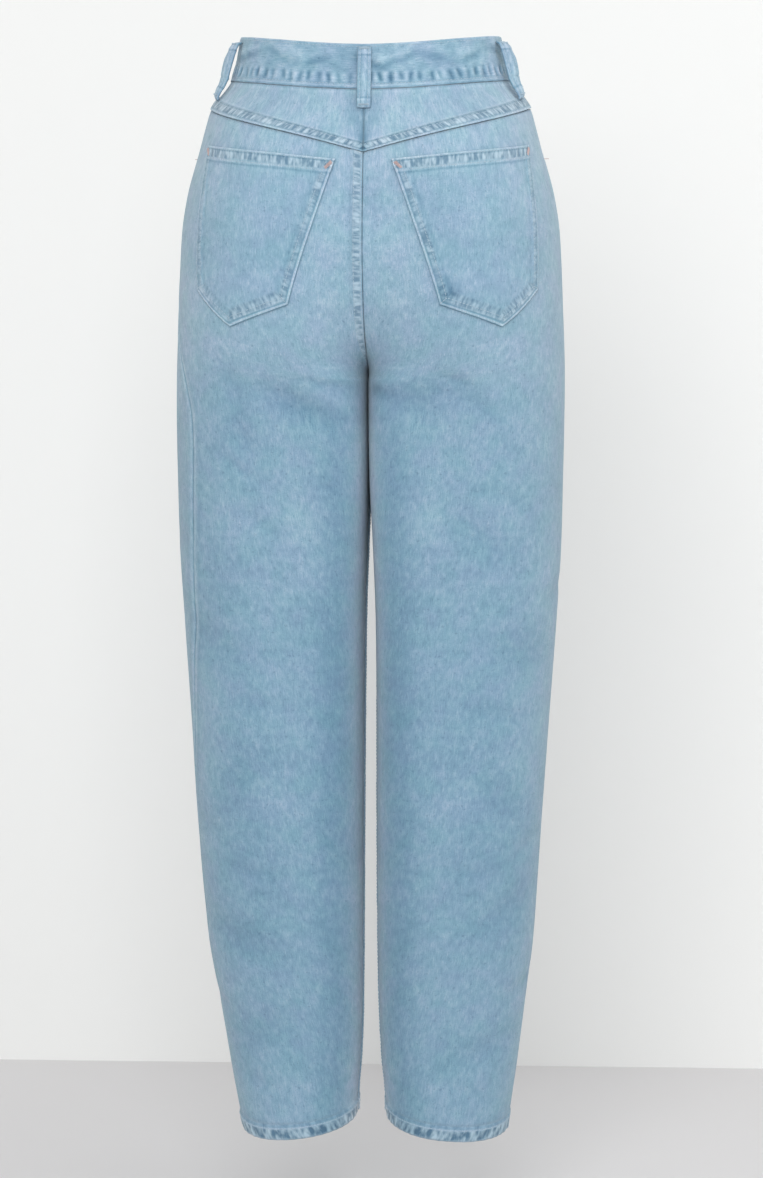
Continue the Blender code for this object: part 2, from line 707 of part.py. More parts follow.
def waist_button(material):
    """A turned tack button at the centre front: a domed cap with a rim, on a short shank."""
    point, normal = skin(1, "front", 1.0, HOLD_DROP)
    point[0], normal[0] = 0.0, 0.0
    normal /= np.linalg.norm(normal)
    profile = [
        (0, 0),
        (BUTTON_SHANK, 0),
        (BUTTON_SHANK, 1.0),
        (BUTTON_RADIUS - 0.5, 1.0),
        (BUTTON_RADIUS, 1.6),
        (BUTTON_RADIUS - 0.6, 2.5),
        (BUTTON_RADIUS - 2.2, 2.6),
        (BUTTON_RADIUS - 3.0, 2.2),
        (0, BUTTON_HEIGHT - 0.6),
    ]
    shape = bmesh.new()
    verts = [shape.verts.new((radius * MM, 0, height * MM)) for radius, height in profile]
    edges = [shape.edges.new(pair) for pair in zip(verts, verts[1:])]
    bmesh.ops.spin(
        shape,
        geom=verts + edges,
        cent=(0, 0, 0),
        axis=(0, 0, 1),
        angle=2 * math.pi,
        steps=BUTTON_STEPS,
        use_merge=True,
    )
    bmesh.ops.remove_doubles(shape, verts=shape.verts, dist=0.01 * MM)
    made = add_object("waist_button", shape, material)
    made.rotation_mode = "XYZ"
    tip = math.atan2(normal[2], -normal[1])
    made.rotation_euler = (math.pi / 2 - tip, 0, 0)
    made.location = (point + (BAND_PROUD + SEAM_GAP) * normal) * MM
    return made


def main():
    for old in list(bpy.data.objects):
        bpy.data.objects.remove(old)
    denim = add_material("washed_denim", DENIM, 0.9)
    pale = add_material("washed_denim_pale", DENIM_PALE, 0.9)
    brass = add_material("aged_brass", BRASS, 0.4, 1.0)
    for hand in (1, -1):
        back_panel(hand, denim)
        front_panel(hand, denim)
        yoke(hand, pale)
        pocket_facing(hand, pale)
        back_pocket(hand, pale)
    waistband(pale)
    for name, place_on in LOOPS.items():
        belt_loop(name, place_on, pale)
    waist_button(brass)


main()
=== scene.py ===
# %% [markdown]
# Balloon-leg jeans in washed denim, seen from the back.
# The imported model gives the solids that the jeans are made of. This script dresses them: each
# solid is replaced by a thin sheet of cloth of the same form, sewn with real stitches and finished
# with a denim that is worked out from the way such cloth is dyed, washed and worn.

import math

import bmesh
import bpy
import numpy as np
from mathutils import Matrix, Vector


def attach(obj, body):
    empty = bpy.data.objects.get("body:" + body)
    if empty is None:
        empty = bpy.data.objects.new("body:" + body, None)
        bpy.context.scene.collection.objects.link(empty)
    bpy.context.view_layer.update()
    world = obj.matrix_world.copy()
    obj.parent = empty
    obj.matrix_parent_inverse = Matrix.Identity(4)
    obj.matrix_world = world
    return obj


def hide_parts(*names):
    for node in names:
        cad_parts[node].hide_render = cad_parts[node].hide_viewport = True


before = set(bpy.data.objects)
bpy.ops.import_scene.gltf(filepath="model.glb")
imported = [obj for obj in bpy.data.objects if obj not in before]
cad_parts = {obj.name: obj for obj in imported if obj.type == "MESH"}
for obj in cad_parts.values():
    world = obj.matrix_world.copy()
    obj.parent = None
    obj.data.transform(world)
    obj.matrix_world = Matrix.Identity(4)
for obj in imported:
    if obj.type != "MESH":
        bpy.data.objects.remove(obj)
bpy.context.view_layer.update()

# %% [markdown]
# A garment is cut from a pattern, so everything here starts from a few pattern sizes in
# millimetres. A drop is how far a line of the pattern lies below the waistband's top edge at the
# side. The origin is the middle of the waistband, at the height where worn jeans are held up.

# %% Pattern sizes
MM = 0.001
HOLD_DROP = 20.0
BAND_SEAM = 40.0
YOKE_SEAM = 64.0
CROTCH = 307.0
HEM = 983.0
HEM_FOLD = 12.0
SEAM_GAP = 0.06
ROW_GAP = 0.2
BAND_WALL = 2.4
BAND_PROUD = 0.8
ROUNDNESS = 2.15
VEE_POWER = 1.4
FELL_WIDTH = 10.0
FELL_RISE = 1.0
HEM_RISE = 1.1
HEM_TILT_START = 900.0
HEM_TILT_BACK = 0.20
HEM_TILT_OUT = 0.10
SCOOP_ACROSS = 92.0
SCOOP_DOWN = 64.0
FACING_SUNK = 1.75
FACING_UNDER = 9.0
FACING_WALL = 1.1
OVERLAP = 14.0
UNDERLAP = 30.0
UNDERLAP_SINK = 3.4
UNDERLAP_EASE = 60.0
LOOP_WIDTH = 12.5
LOOP_BELOW_BAND = 18.0
LOOP_SEAT = 0.5
LOOP_SKEW = 0.8
LOOP_WALL = 1.9
LOOP_CLOTH = 1.7
POCKET_SEAT = 0.45
POCKET_WALL = 1.2
POCKET_HEM = 12.0
POCKET_HEM_RISE = 0.8
BAND_EDGE_EASE = 0.7
SIDES = {1: "left", -1: "right"}


def table(columns, *rows):
    """A table of sizes: {column name: its values, one for each row}."""
    return dict(zip(columns.split(), np.array(rows, float).T))


# %% [markdown]
# The worn form is described as sections, like the rings of a dressmaker's dummy. Each row says
# how wide the jeans are at a drop, where the fullest point of the back or front is, and where the
# inner seam lies. Crease says how sharply a section turns into that seam, and vee how a row dips
# towards the centre. Long tables of loose points would hide this, so there is one row for a level.

# %% Section tables
SIDE = table(
    "drop half_width side_y inner_x",
    (0, 117.0, -2, 0),
    (20, 120.5, -2, 0),
    (40, 126.5, -1, 0),
    (64, 144.0, -1, 0),
    (80, 148.8, 0, 0),
    (100, 154.0, 0, 0),
    (145, 166.0, 0, 0),
    (177, 170.6, 0, 0),
    (236, 173.4, -1, 0),
    (307, 175.4, -5, 0),
    (354, 175.0, -6, 0.2),
    (400, 174.0, -6, 0.8),
    (454, 172.5, -6, 3.0),
    (530, 167.8, -5, 5.3),
    (605, 162.4, -1, 5.9),
    (691, 156.4, 5, 6.2),
    (763, 151.4, 8, 6.4),
    (818, 146.8, 9, 6.6),
    (873, 138.4, 10, 7.0),
    (927, 130.0, 11, 8.6),
    (954, 125.0, 11, 10.6),
    (983, 119.5, 11, 12.4),
)
BACK = table(
    "drop peak_x peak_y end_drop end_y crease vee roundness",
    (0, 8, 84, 11, 84, 0.0, 0.0, 2.0),
    (20, 8, 88, 31, 88, 0.0, 0.0, 2.0),
    (40, 8, 94, 51, 94, 0.0, 0.0, 2.0),
    (64, 45, 113, 107, 111.5, 0.0, 1.0, 2.0),
    (100, 64, 123, 142, 120, 0.0, 0.6, 2.0),
    (150, 76, 129, 185, 125, 0.0, 0.2, 2.0),
    (200, 80, 129, 228, 117, 0.2, 0.0, 2.0),
    (240, 83, 124, 262, 97, 0.45, 0.0, 2.15),
    (265, 84, 118, 283, 70, 0.7, 0.0, 2.3),
    (285, 85, 113, 296, 39, 0.88, 0.0, 2.7),
    (299, 87, 109, 304, 9, 0.98, 0.0, 3.5),
    (307, 87, 107, 307, -8, 1.0, 0.0, 4.4),
    (354, 88, 98, 354, -7, 1.0, 0.0, 5.0),
    (400, 88, 93, 400, -6, 1.0, 0.0, 4.8),
    (454, 88, 88, 454, -6, 1.0, 0.0, 4.2),
    (530, 87, 83, 530, -5, 1.0, 0.0, 3.5),
    (605, 84, 82, 605, -1, 1.0, 0.0, 3.1),
    (691, 81, 82, 691, 5, 1.0, 0.0, 2.8),
    (763, 79, 79, 763, 8, 1.0, 0.0, 2.5),
    (818, 77, 76, 818, 9, 1.0, 0.0, 2.4),
    (873, 73, 72, 873, 10, 1.0, 0.0, 2.3),
    (927, 69, 69, 927, 11, 1.0, 0.0, 2.2),
    (983, 66, 66, 983, 11, 1.0, 0.0, 2.1),
)
FRONT = table(
    "drop peak_x peak_y end_drop end_y crease vee roundness",
    (0, 8, -88, 12, -88, 0.0, 0.0, 2.0),
    (20, 8, -92, 33, -92, 0.0, 0.0, 2.0),
    (40, 8, -97, 54, -97, 0.0, 0.0, 2.0),
    (64, 20, -101, 80, -101, 0.0, 0.0, 2.0),
    (100, 34, -107, 116, -106, 0.0, 0.0, 2.0),
    (150, 48, -110, 166, -107, 0.0, 0.0, 2.0),
    (200, 62, -110, 213, -101, 0.1, 0.0, 2.0),
    (240, 72, -110, 250, -88, 0.35, 0.0, 2.1),
    (265, 78, -110, 274, -70, 0.65, 0.0, 2.2),
    (285, 82, -110, 291, -46, 0.85, 0.0, 2.3),
    (299, 86, -110, 302, -20, 0.97, 0.0, 2.35),
    (307, 87, -110, 307, -8, 1.0, 0.0, 2.4),
    (354, 88, -108, 354, -7, 1.0, 0.0, 2.25),
    (400, 88, -105, 400, -6, 1.0, 0.0, 2.12),
    (454, 88, -100, 454, -6, 1.0, 0.0, 2.05),
    (530, 87, -92, 530, -5, 1.0, 0.0, 2.0),
    (605, 84, -83, 605, -1, 1.0, 0.0, 2.0),
    (691, 81, -72, 691, 5, 1.0, 0.0, 2.0),
    (763, 79, -64, 763, 8, 1.0, 0.0, 2.0),
    (818, 77, -58, 818, 9, 1.0, 0.0, 2.0),
    (873, 73, -52, 873, 10, 1.0, 0.0, 2.0),
    (927, 69, -48, 927, 11, 1.0, 0.0, 2.0),
    (983, 66, -45, 983, 11, 1.0, 0.0, 2.0),
)
FACES = {"back": BACK, "front": FRONT}
SWAY = table(
    "drop left_out right_out left_in right_in",
    (0, 0, 0, 0, 0),
    (236, 0, 0, 0, 0),
    (354, 2.0, 0, 0, 0),
    (530, 2.6, 0.6, 0, 0),
    (691, 2.6, 0.6, 0, 0),
    (818, 0.8, 1.8, 0, 0.6),
    (900, -1.6, 4.0, 0, 1.8),
    (983, -3.0, 6.0, 0, 3.2),
)
TWIST = table(
    "drop left right",
    (0, 0, 0),
    (200, 0, 0),
    (258, 34, -4),
    (307, 66, -9),
    (344, 76, -12),
    (416, 69, -14),
    (506, 58, -12),
    (616, 36, -8),
    (700, 16, -4),
    (780, 5, -1),
    (983, 0, 0),
)

# %% [markdown]
# Worn denim never lies smooth. The long soft folds are listed: where each starts and
# ends, how wide it is and how far it rises, with minus for a trough. Around is the distance from
# the leg's widest line, to the back when positive. The first table holds the folds that the solids
# have too, and the second the smaller creases that only show on the finished cloth.

# %% Fold tables
FOLD_COLUMNS = "hand around drop end_around end_drop width rise"
FOLDS = table(
    FOLD_COLUMNS,
    (1, 154, 316, 224, 348, 12, -4.4),
    (1, 195, 307, 250, 320, 8, -2.0),
    (1, 127, 344, 141, 376, 10, -2.2),
    (1, 40, 520, 120, 560, 18, -2.2),
    (1, 120, 640, 60, 690, 18, -2.0),
    (1, 30, 790, 110, 830, 16, -2.2),
    (1, 100, 880, 40, 915, 14, -2.0),
    (-1, 255, 318, 215, 326, 8, -3.0),
    (-1, 214, 326, 176, 334, 14, -2.6),
    (-1, 150, 430, 96, 470, 15, -2.4),
    (-1, 36, 560, 116, 540, 18, -2.2),
    (-1, 110, 660, 50, 700, 18, -2.2),
    (-1, 96, 800, 34, 770, 16, -2.0),
    (-1, 34, 900, 100, 925, 13, -2.0),
    (1, -196, 262, -120, 236, 13, -4.0),
    (1, -186, 292, -96, 276, 14, -3.6),
    (1, -176, 330, -104, 344, 14, -3.2),
    (1, -60, 500, -140, 540, 18, -2.6),
    (1, -130, 600, -50, 622, 16, -3.0),
    (1, -40, 650, -120, 668, 16, -2.6),
    (1, -90, 850, -30, 880, 14, -2.4),
    (-1, -196, 258, -124, 240, 13, -4.0),
    (-1, -188, 288, -92, 270, 14, -3.8),
    (-1, -174, 326, -100, 336, 14, -3.0),
    (-1, -64, 510, -144, 530, 18, -2.6),
    (-1, -126, 592, -46, 618, 16, -3.0),
    (-1, -44, 646, -116, 660, 16, -2.6),
    (-1, -86, 860, -34, 884, 14, -2.4),
)
CREASES = table(
    FOLD_COLUMNS,
    (1, 130, 292, 133, 336, 10, -1.6),
    (1, 195, 402, 211, 402, 3, -1.2),
    (1, 108, 372, 150, 402, 5, -1.2),
    (1, 128, 424, 158, 450, 7, -1.2),
    (1, 20, 446, 60, 452, 7, -1.1),
    (1, 96, 590, 150, 602, 8, -1.1),
    (1, 22, 700, 64, 712, 8, -1.2),
    (1, 70, 748, 120, 752, 7, -1.0),
    (1, 8, 866, 44, 880, 7, -1.2),
    (1, 40, 930, 86, 944, 6, -1.0),
    (-1, 186, 296, 140, 322, 7, -2.0),
    (-1, 184, 316, 118, 338, 6, -1.8),
    (-1, 130, 402, 84, 420, 6, -1.1),
    (-1, -8, 492, 40, 500, 7, -1.8),
    (-1, 60, 610, 118, 600, 8, -1.1),
    (-1, 22, 716, 60, 734, 8, -1.2),
    (-1, 78, 752, 126, 744, 7, -1.0),
    (-1, 4, 846, 50, 862, 7, -1.3),
    (-1, 52, 948, 98, 936, 6, -1.0),
    (1, -150, 250, -110, 244, 6, -1.4),
    (1, -192, 306, -150, 318, 6, -1.6),
    (1, -110, 420, -66, 436, 8, -1.2),
    (1, -70, 574, -126, 580, 8, -1.4),
    (1, -36, 716, -96, 730, 8, -1.2),
    (1, -24, 936, -84, 948, 6, -1.0),
    (-1, -152, 246, -108, 238, 6, -1.4),
    (-1, -190, 304, -146, 312, 6, -1.6),
    (-1, -104, 430, -60, 440, 8, -1.2),
    (-1, -64, 566, -122, 574, 8, -1.4),
    (-1, -40, 724, -92, 736, 8, -1.2),
    (-1, -20, 944, -80, 938, 6, -1.0),
)
FOLD_EDGE = 22.0

# %% [markdown]
# The loops stand where the solids' loops stand. Share says how far round its panel a loop is, from
# the outseam, gap how far its middle stands off the band, and turn how much less that is for each
# millimetre across it. The back pocket is given by its five corners, as a pattern cutter would: the
# distance round from the centre back, and the drop.

# %% Places of the small pieces
LOOPS = {
    # hand, face, share, top, gap, turn
    "belt_loop_back": (1, "back", 1.0, 3.0, 3.4, 0.0),
    "belt_loop_side_left": (1, "back", 0.16, 5.0, 8.0, 0.35),
    "belt_loop_side_right": (-1, "back", 0.16, 5.0, 8.0, 0.5),
    "belt_loop_front_left": (1, "front", 0.60, 3.0, 3.8, 0.0),
    "belt_loop_front_right": (-1, "front", 0.60, 3.0, 3.8, 0.0),
}
POCKET = {
    "top_inner": (25.5, 113.5),
    "top_outer": (172.0, 99.5),
    "side_low": (168.0, 227.0),
    "tip": (130.0, 259.5),
    "low_inner": (69.5, 240.0),
}
POCKET_EASE = {1: 0.965, -1: 1.015}

# %% [markdown]
# The sections become one continuous surface. Each half row is drawn as an ellipse-like arc from
# the side to its fullest point, and on to the inner seam, then measured out in equal steps. Rows
# a millimetre apart are kept in one array, so any place on the cloth is found by mixing its four
# neighbours. A subdivision cage could give the same form, but its seams wouldn't keep their places.

# %% Surface of the worn form
ARC_POINTS = 90
STEPS = 200


def smooth(share):
    """Eases 0 to 1, level at both ends."""
    share = np.clip(share, 0, 1)
    return share * share * (3 - 2 * share)


def read(columns, column, drops):
    """A column of a table at any drops, on a curve that doesn't overshoot its rows."""
    xs, ys = columns["drop"], columns[column]
    drops = np.clip(np.asarray(drops, float), xs[0], xs[-1])
    slopes = np.diff(ys) / np.diff(xs)
    before = np.append(slopes[:1], slopes)
    after = np.append(slopes, slopes[-1:])
    same = before * after > 0
    total = np.where(same, before + after, 1.0)
    tangents = np.where(same, 2 * before * after / total, 0.0)
    i = np.clip(np.searchsorted(xs, drops, side="right") - 1, 0, len(slopes) - 1)
    width = np.diff(xs)[i]
    t = (drops - xs[i]) / width
    start = (1 + 2 * t) * (1 - t) ** 2 * ys[i] + t * (1 - t) ** 2 * width * tangents[i]
    end = t * t * (3 - 2 * t) * ys[i + 1] + t * t * (t - 1) * width * tangents[i + 1]
    return start + end


def half_rows(hand, face, drops):
    """Rows of points from the widest line to the inner seam, and the rows' lengths."""
    values = {name: read(FACES[face], name, drops)[:, None] for name in FACES[face]}
    side_x = (read(SIDE, "half_width", drops) + read(SWAY, f"{SIDES[hand]}_out", drops))[:, None]
    side_y = read(SIDE, "side_y", drops)[:, None]
    end_x = (read(SIDE, "inner_x", drops) + read(SWAY, f"{SIDES[hand]}_in", drops))[:, None]
    peak_x, peak_y = values["peak_x"], values["peak_y"]
    end_y, crease = values["end_y"], values["crease"]
    turn = np.linspace(0, math.pi / 2, ARC_POINTS)[None, :]
    outer_x = peak_x + (side_x - peak_x) * np.clip(np.cos(turn), 0, 1) ** (2 / ROUNDNESS)
    outer_y = side_y + (peak_y - side_y) * np.sin(turn) ** (2 / ROUNDNESS)
    share = np.linspace(0, 1, ARC_POINTS)[None, 1:]
    quarter = share * math.pi / 2
    power = 2 / values["roundness"]
    across = share + crease * (np.sin(quarter) ** power - share)
    bridged = (1 + np.cos(math.pi * share)) / 2
    height = bridged + crease * (np.clip(np.cos(quarter), 0, 1) ** power - bridged)
    inner_x = peak_x + (end_x - peak_x) * across
    inner_y = end_y + (peak_y - end_y) * height
    plan = np.stack([np.hstack([outer_x, inner_x]), np.hstack([outer_y, inner_y])], axis=-1)
    steps = np.linalg.norm(np.diff(plan, axis=1), axis=2)
    along = np.hstack([np.zeros((len(drops), 1)), np.cumsum(steps, axis=1)])
    along /= along[:, -1:]
    ease = smooth(along) + values["vee"] * (along**VEE_POWER - smooth(along))
    levels = drops[:, None] + (values["end_drop"] - drops[:, None]) * ease
    tilt = smooth((drops - HEM_TILT_START) / (HEM - HEM_TILT_START))[:, None]
    levels += tilt * HEM_TILT_BACK * (plan[..., 1] - side_y)
    levels += tilt * HEM_TILT_OUT * (plan[..., 0] - (side_x + end_x) / 2)
    points = np.dstack([plan, HOLD_DROP - levels])
    steps = np.linalg.norm(np.diff(points, axis=1), axis=2)
    run = np.hstack([np.zeros((len(drops), 1)), np.cumsum(steps, axis=1)])
    even = np.linspace(0, 1, STEPS)
    rows = [
        [np.interp(even * r[-1], r, p[:, k]) for k in range(3)] for r, p in zip(run, points)
    ]
    return np.array(rows).transpose(0, 2, 1), run[:, -1]


LEVELS = np.arange(int(HEM) + 1, dtype=float)
HALVES = {(h, f): half_rows(h, f, LEVELS) for h in SIDES for f in FACES}
print("Hip half girth:", round(sum(HALVES[1, f][1][200] for f in FACES), 1), "mm")


def half_length(hand, face, drop):
    """How long the half row is from the widest line to the inner seam."""
    return np.interp(drop, LEVELS, HALVES[hand, face][1])


def on_form(hand, around, drop):
    """Points at distances round from the widest line, as if on the left side."""
    around, drop = np.broadcast_arrays(np.asarray(around, float), np.asarray(drop, float))
    drop = np.clip(drop, 0, HEM)
    i = np.minimum(drop.astype(int), len(LEVELS) - 2)
    t = (drop - i)[..., None]
    found = np.zeros(around.shape + (3,))
    for face, sign in (("back", 1), ("front", -1)):
        rows, runs = HALVES[hand, face]
        length = runs[i] * (1 - t[..., 0]) + runs[i + 1] * t[..., 0]
        s = np.clip(sign * around / length, 0, 1) * (STEPS - 1)
        j = np.minimum(s.astype(int), STEPS - 2)
        u = (s - j)[..., None]
        upper = rows[i, j] * (1 - u) + rows[i, j + 1] * u
        lower = rows[i + 1, j] * (1 - u) + rows[i + 1, j + 1] * u
        pick = (sign * around >= 0)[..., None]
        found = np.where(pick, upper * (1 - t) + lower * t, found)
    return found


def seam(hand, drop):
    """Where the outseam runs, as a distance from the widest line."""
    return read(TWIST, SIDES[hand], drop)


def panel_length(hand, face, drop):
    """How wide a panel is from the outseam to its inner seam."""
    sign = 1 if face == "back" else -1
    return half_length(hand, face, drop) - sign * seam(hand, drop)


def around_at(hand, face, share, drop):
    """Distance from the widest line at a share of the panel, 0 at the outseam and 1 inside."""
    sign = 1 if face == "back" else -1
    return seam(hand, drop) + sign * share * panel_length(hand, face, drop)


def fold_rise(hand, around, drop, folds):
    """How far the folds of a table move the cloth out at these places."""
    back, front = half_length(hand, "back", drop), half_length(hand, "front", drop)
    inside = np.minimum(back - around, around + front)
    rise = np.zeros(np.shape(around))
    for i in np.flatnonzero(folds["hand"] == hand):
        start = np.array([folds["around"][i], folds["drop"][i]])
        run = np.array([folds["end_around"][i], folds["end_drop"][i]]) - start
        away_x, away_y = around - start[0], drop - start[1]
        share = np.clip((away_x * run[0] + away_y * run[1]) / np.dot(run, run), 0, 1)
        away = np.hypot(away_x - share * run[0], away_y - share * run[1]) / folds["width"][i]
        swell = 0.35 + 0.65 * np.sin(math.pi * share)
        rise += folds["rise"][i] * swell * np.exp(-away * away)
    return rise * smooth(inside / FOLD_EDGE)


def skin(hand, around, drop, lift=0.0):
    """Points of the cloth's outer face moved out by lift, and its outward normals."""
    around, drop = np.broadcast_arrays(np.asarray(around, float), np.asarray(drop, float))
    low, high = -half_length(hand, "front", drop), half_length(hand, "back", drop)
    around = np.clip(around, low, high)
    ahead = on_form(hand, np.minimum(around + 1.0, high), drop)
    behind = on_form(hand, np.maximum(around - 1.0, low), drop)
    below = on_form(hand, around, np.minimum(drop + 2.0, HEM))
    above = on_form(hand, around, np.maximum(drop - 2.0, 0.0))
    normals = np.cross(below - above, ahead - behind)
    normals /= np.linalg.norm(normals, axis=-1, keepdims=True)
    rise = fold_rise(hand, around, drop, FOLDS) + fold_rise(hand, around, drop, CREASES) + lift
    points = on_form(hand, around, drop) + rise[..., None] * normals
    return points, normals


def mirrored(hand, points):
    """Keeps left-side points clear of the middle plane, then turns them to their own side."""
    points = np.array(points)
    points[..., 0] = np.maximum(points[..., 0], SEAM_GAP / 2)
    return points * [hand, 1, 1]


# %% [markdown]
# Chance without chaos: puckers and roping are uneven, but they must come out the same on every
# run. Two small functions give smooth noise from seeded numbers, one along a line and one over a
# plane, in units of one bump.

# %% Smooth seeded noise
def wobble(x, seed):
    """Smooth noise along a line, from -1 to 1."""
    values = np.random.default_rng(seed).uniform(-1, 1, 1024)
    i = np.floor(x).astype(int)
    t = smooth(x - i)
    return values[i % 1024] * (1 - t) + values[(i + 1) % 1024] * t


def mottle(x, y, seed):
    """Smooth noise over a plane, from -1 to 1."""
    values = np.random.default_rng(seed).uniform(-1, 1, (128, 128))
    i, j = np.floor(x).astype(int), np.floor(y).astype(int)
    t, u = smooth(x - i), smooth(y - j)
    left = values[i % 128, j % 128] * (1 - t) + values[(i + 1) % 128, j % 128] * t
    right = values[i % 128, (j + 1) % 128] * (1 - t) + values[(i + 1) % 128, (j + 1) % 128] * t
    return left * (1 - u) + right * u


# %% [markdown]
# Colours are written as they are read from a swatch, in sRGB hex, and one function turns them
# into the linear values that the shader needs. Another adds a node, sets it and joins it up, so
# that a material reads as a list of its layers.

# %% Colour and node helpers
def linear(code):
    """sRGB hex to linear RGBA."""
    parts = [int(code[i : i + 2], 16) / 255 for i in (1, 3, 5)]
    bent = [c / 12.92 if c <= 0.04045 else ((c + 0.055) / 1.055) ** 2.4 for c in parts]
    return (*bent, 1.0)


def add_node(tree, kind, settings=None, links=None):
    """Adds a node; a link's value is an output socket or a plain value."""
    node = tree.nodes.new(kind)
    for name, value in (settings or {}).items():
        setattr(node, name, value)
    for name, value in (links or {}).items():
        if isinstance(value, bpy.types.NodeSocket):
            tree.links.new(value, node.inputs[name])
        else:
            node.inputs[name].default_value = value
    return node


def new_material(name):
    """An empty material with its shader and its tree."""
    material = bpy.data.materials.new(name)
    material.use_nodes = True
    tree = material.node_tree
    return material, tree, tree.nodes["Principled BSDF"]


# %% [markdown]
# Denim is a 3 by 1 twill: indigo warp threads over a white weft. Stone washing rubs the indigo
# off, so the colour is a soft mid blue with short pale streaks along the warp where thick slubs
# stand up, fine specks where the weft shows, blotches a few millimetres wide where the cloth was
# creased in the wash, and slow clouds. Along a felled seam or a hem the layers shrink at different
# rates and rope: rubbed ridges turn pale between dark hollows. The number mark says how strongly
# that shows. The pattern is in metres of cloth, so it keeps its real scale on each piece. The
# twill line is 1.1 mm, about double the real pitch, because a finer one would only shimmer.

# %% Washed denim
DENIM_DARK = "#6A8DA5"
DENIM_MID = "#84A6BC"
DENIM_LIGHT = "#ABC3D2"
ROPE_DARK = "#52758E"
ROPE_LIGHT = "#AEC7D6"
TEAL_CAST = (0.955, 1.012, 0.985, 1)
VIOLET_CAST = (1.045, 0.99, 1.02, 1)
INNER_FACE = "#B9C7CF"
WARP_STREAK = (1000.0, 130.0, 1.0)
SLUB = (700.0, 120.0, 1.0)
SPECK = 1150.0
FLAW = 330.0
BLOTCH = (165.0, 110.0, 1.0)
CLOUD = 24.0
WIDE_CLOUD = 6.5
ROPE_MARK = 290.0
TWILL_PITCH = 0.0011
RED_POWER, BLUE_POWER = 1.5, 0.8


def mix_colour(tree, share, first, second, blend="MIX"):
    """Mixes two colours and returns the result's socket."""
    node = tree.nodes.new("ShaderNodeMix")
    node.data_type, node.blend_type = "RGBA", blend
    for socket, value in ((node.inputs[0], share), (node.inputs[6], first), (node.inputs[7], second)):
        if isinstance(value, bpy.types.NodeSocket):
            tree.links.new(value, socket)
        else:
            socket.default_value = value
    return node.outputs[2]


def maths(tree, operation, first, second=0.0, third=0.0):
    """One sum, as a socket."""
    node = tree.nodes.new("ShaderNodeMath")
    node.operation = operation
    for socket, value in zip(node.inputs, (first, second, third)):
        if isinstance(value, bpy.types.NodeSocket):
            tree.links.new(value, socket)
        else:
            socket.default_value = value
    return node.outputs[0]


def noise(tree, vector, scale, detail=2.0, roughness=0.5):
    """Noise from 0 to 1 on a vector, as a socket."""
    links = {"Vector": vector, "Scale": scale, "Detail": detail, "Roughness": roughness}
    return add_node(tree, "ShaderNodeTexNoise", links=links).outputs["Fac"]


def spread_range(tree, value, low, high, to_low=0.0, to_high=1.0):
    """Stretches a range of values to another, as a socket."""
    links = {"Value": value, "From Min": low, "From Max": high, "To Min": to_low, "To Max": to_high}
    return add_node(tree, "ShaderNodeMapRange", links=links).outputs["Result"]


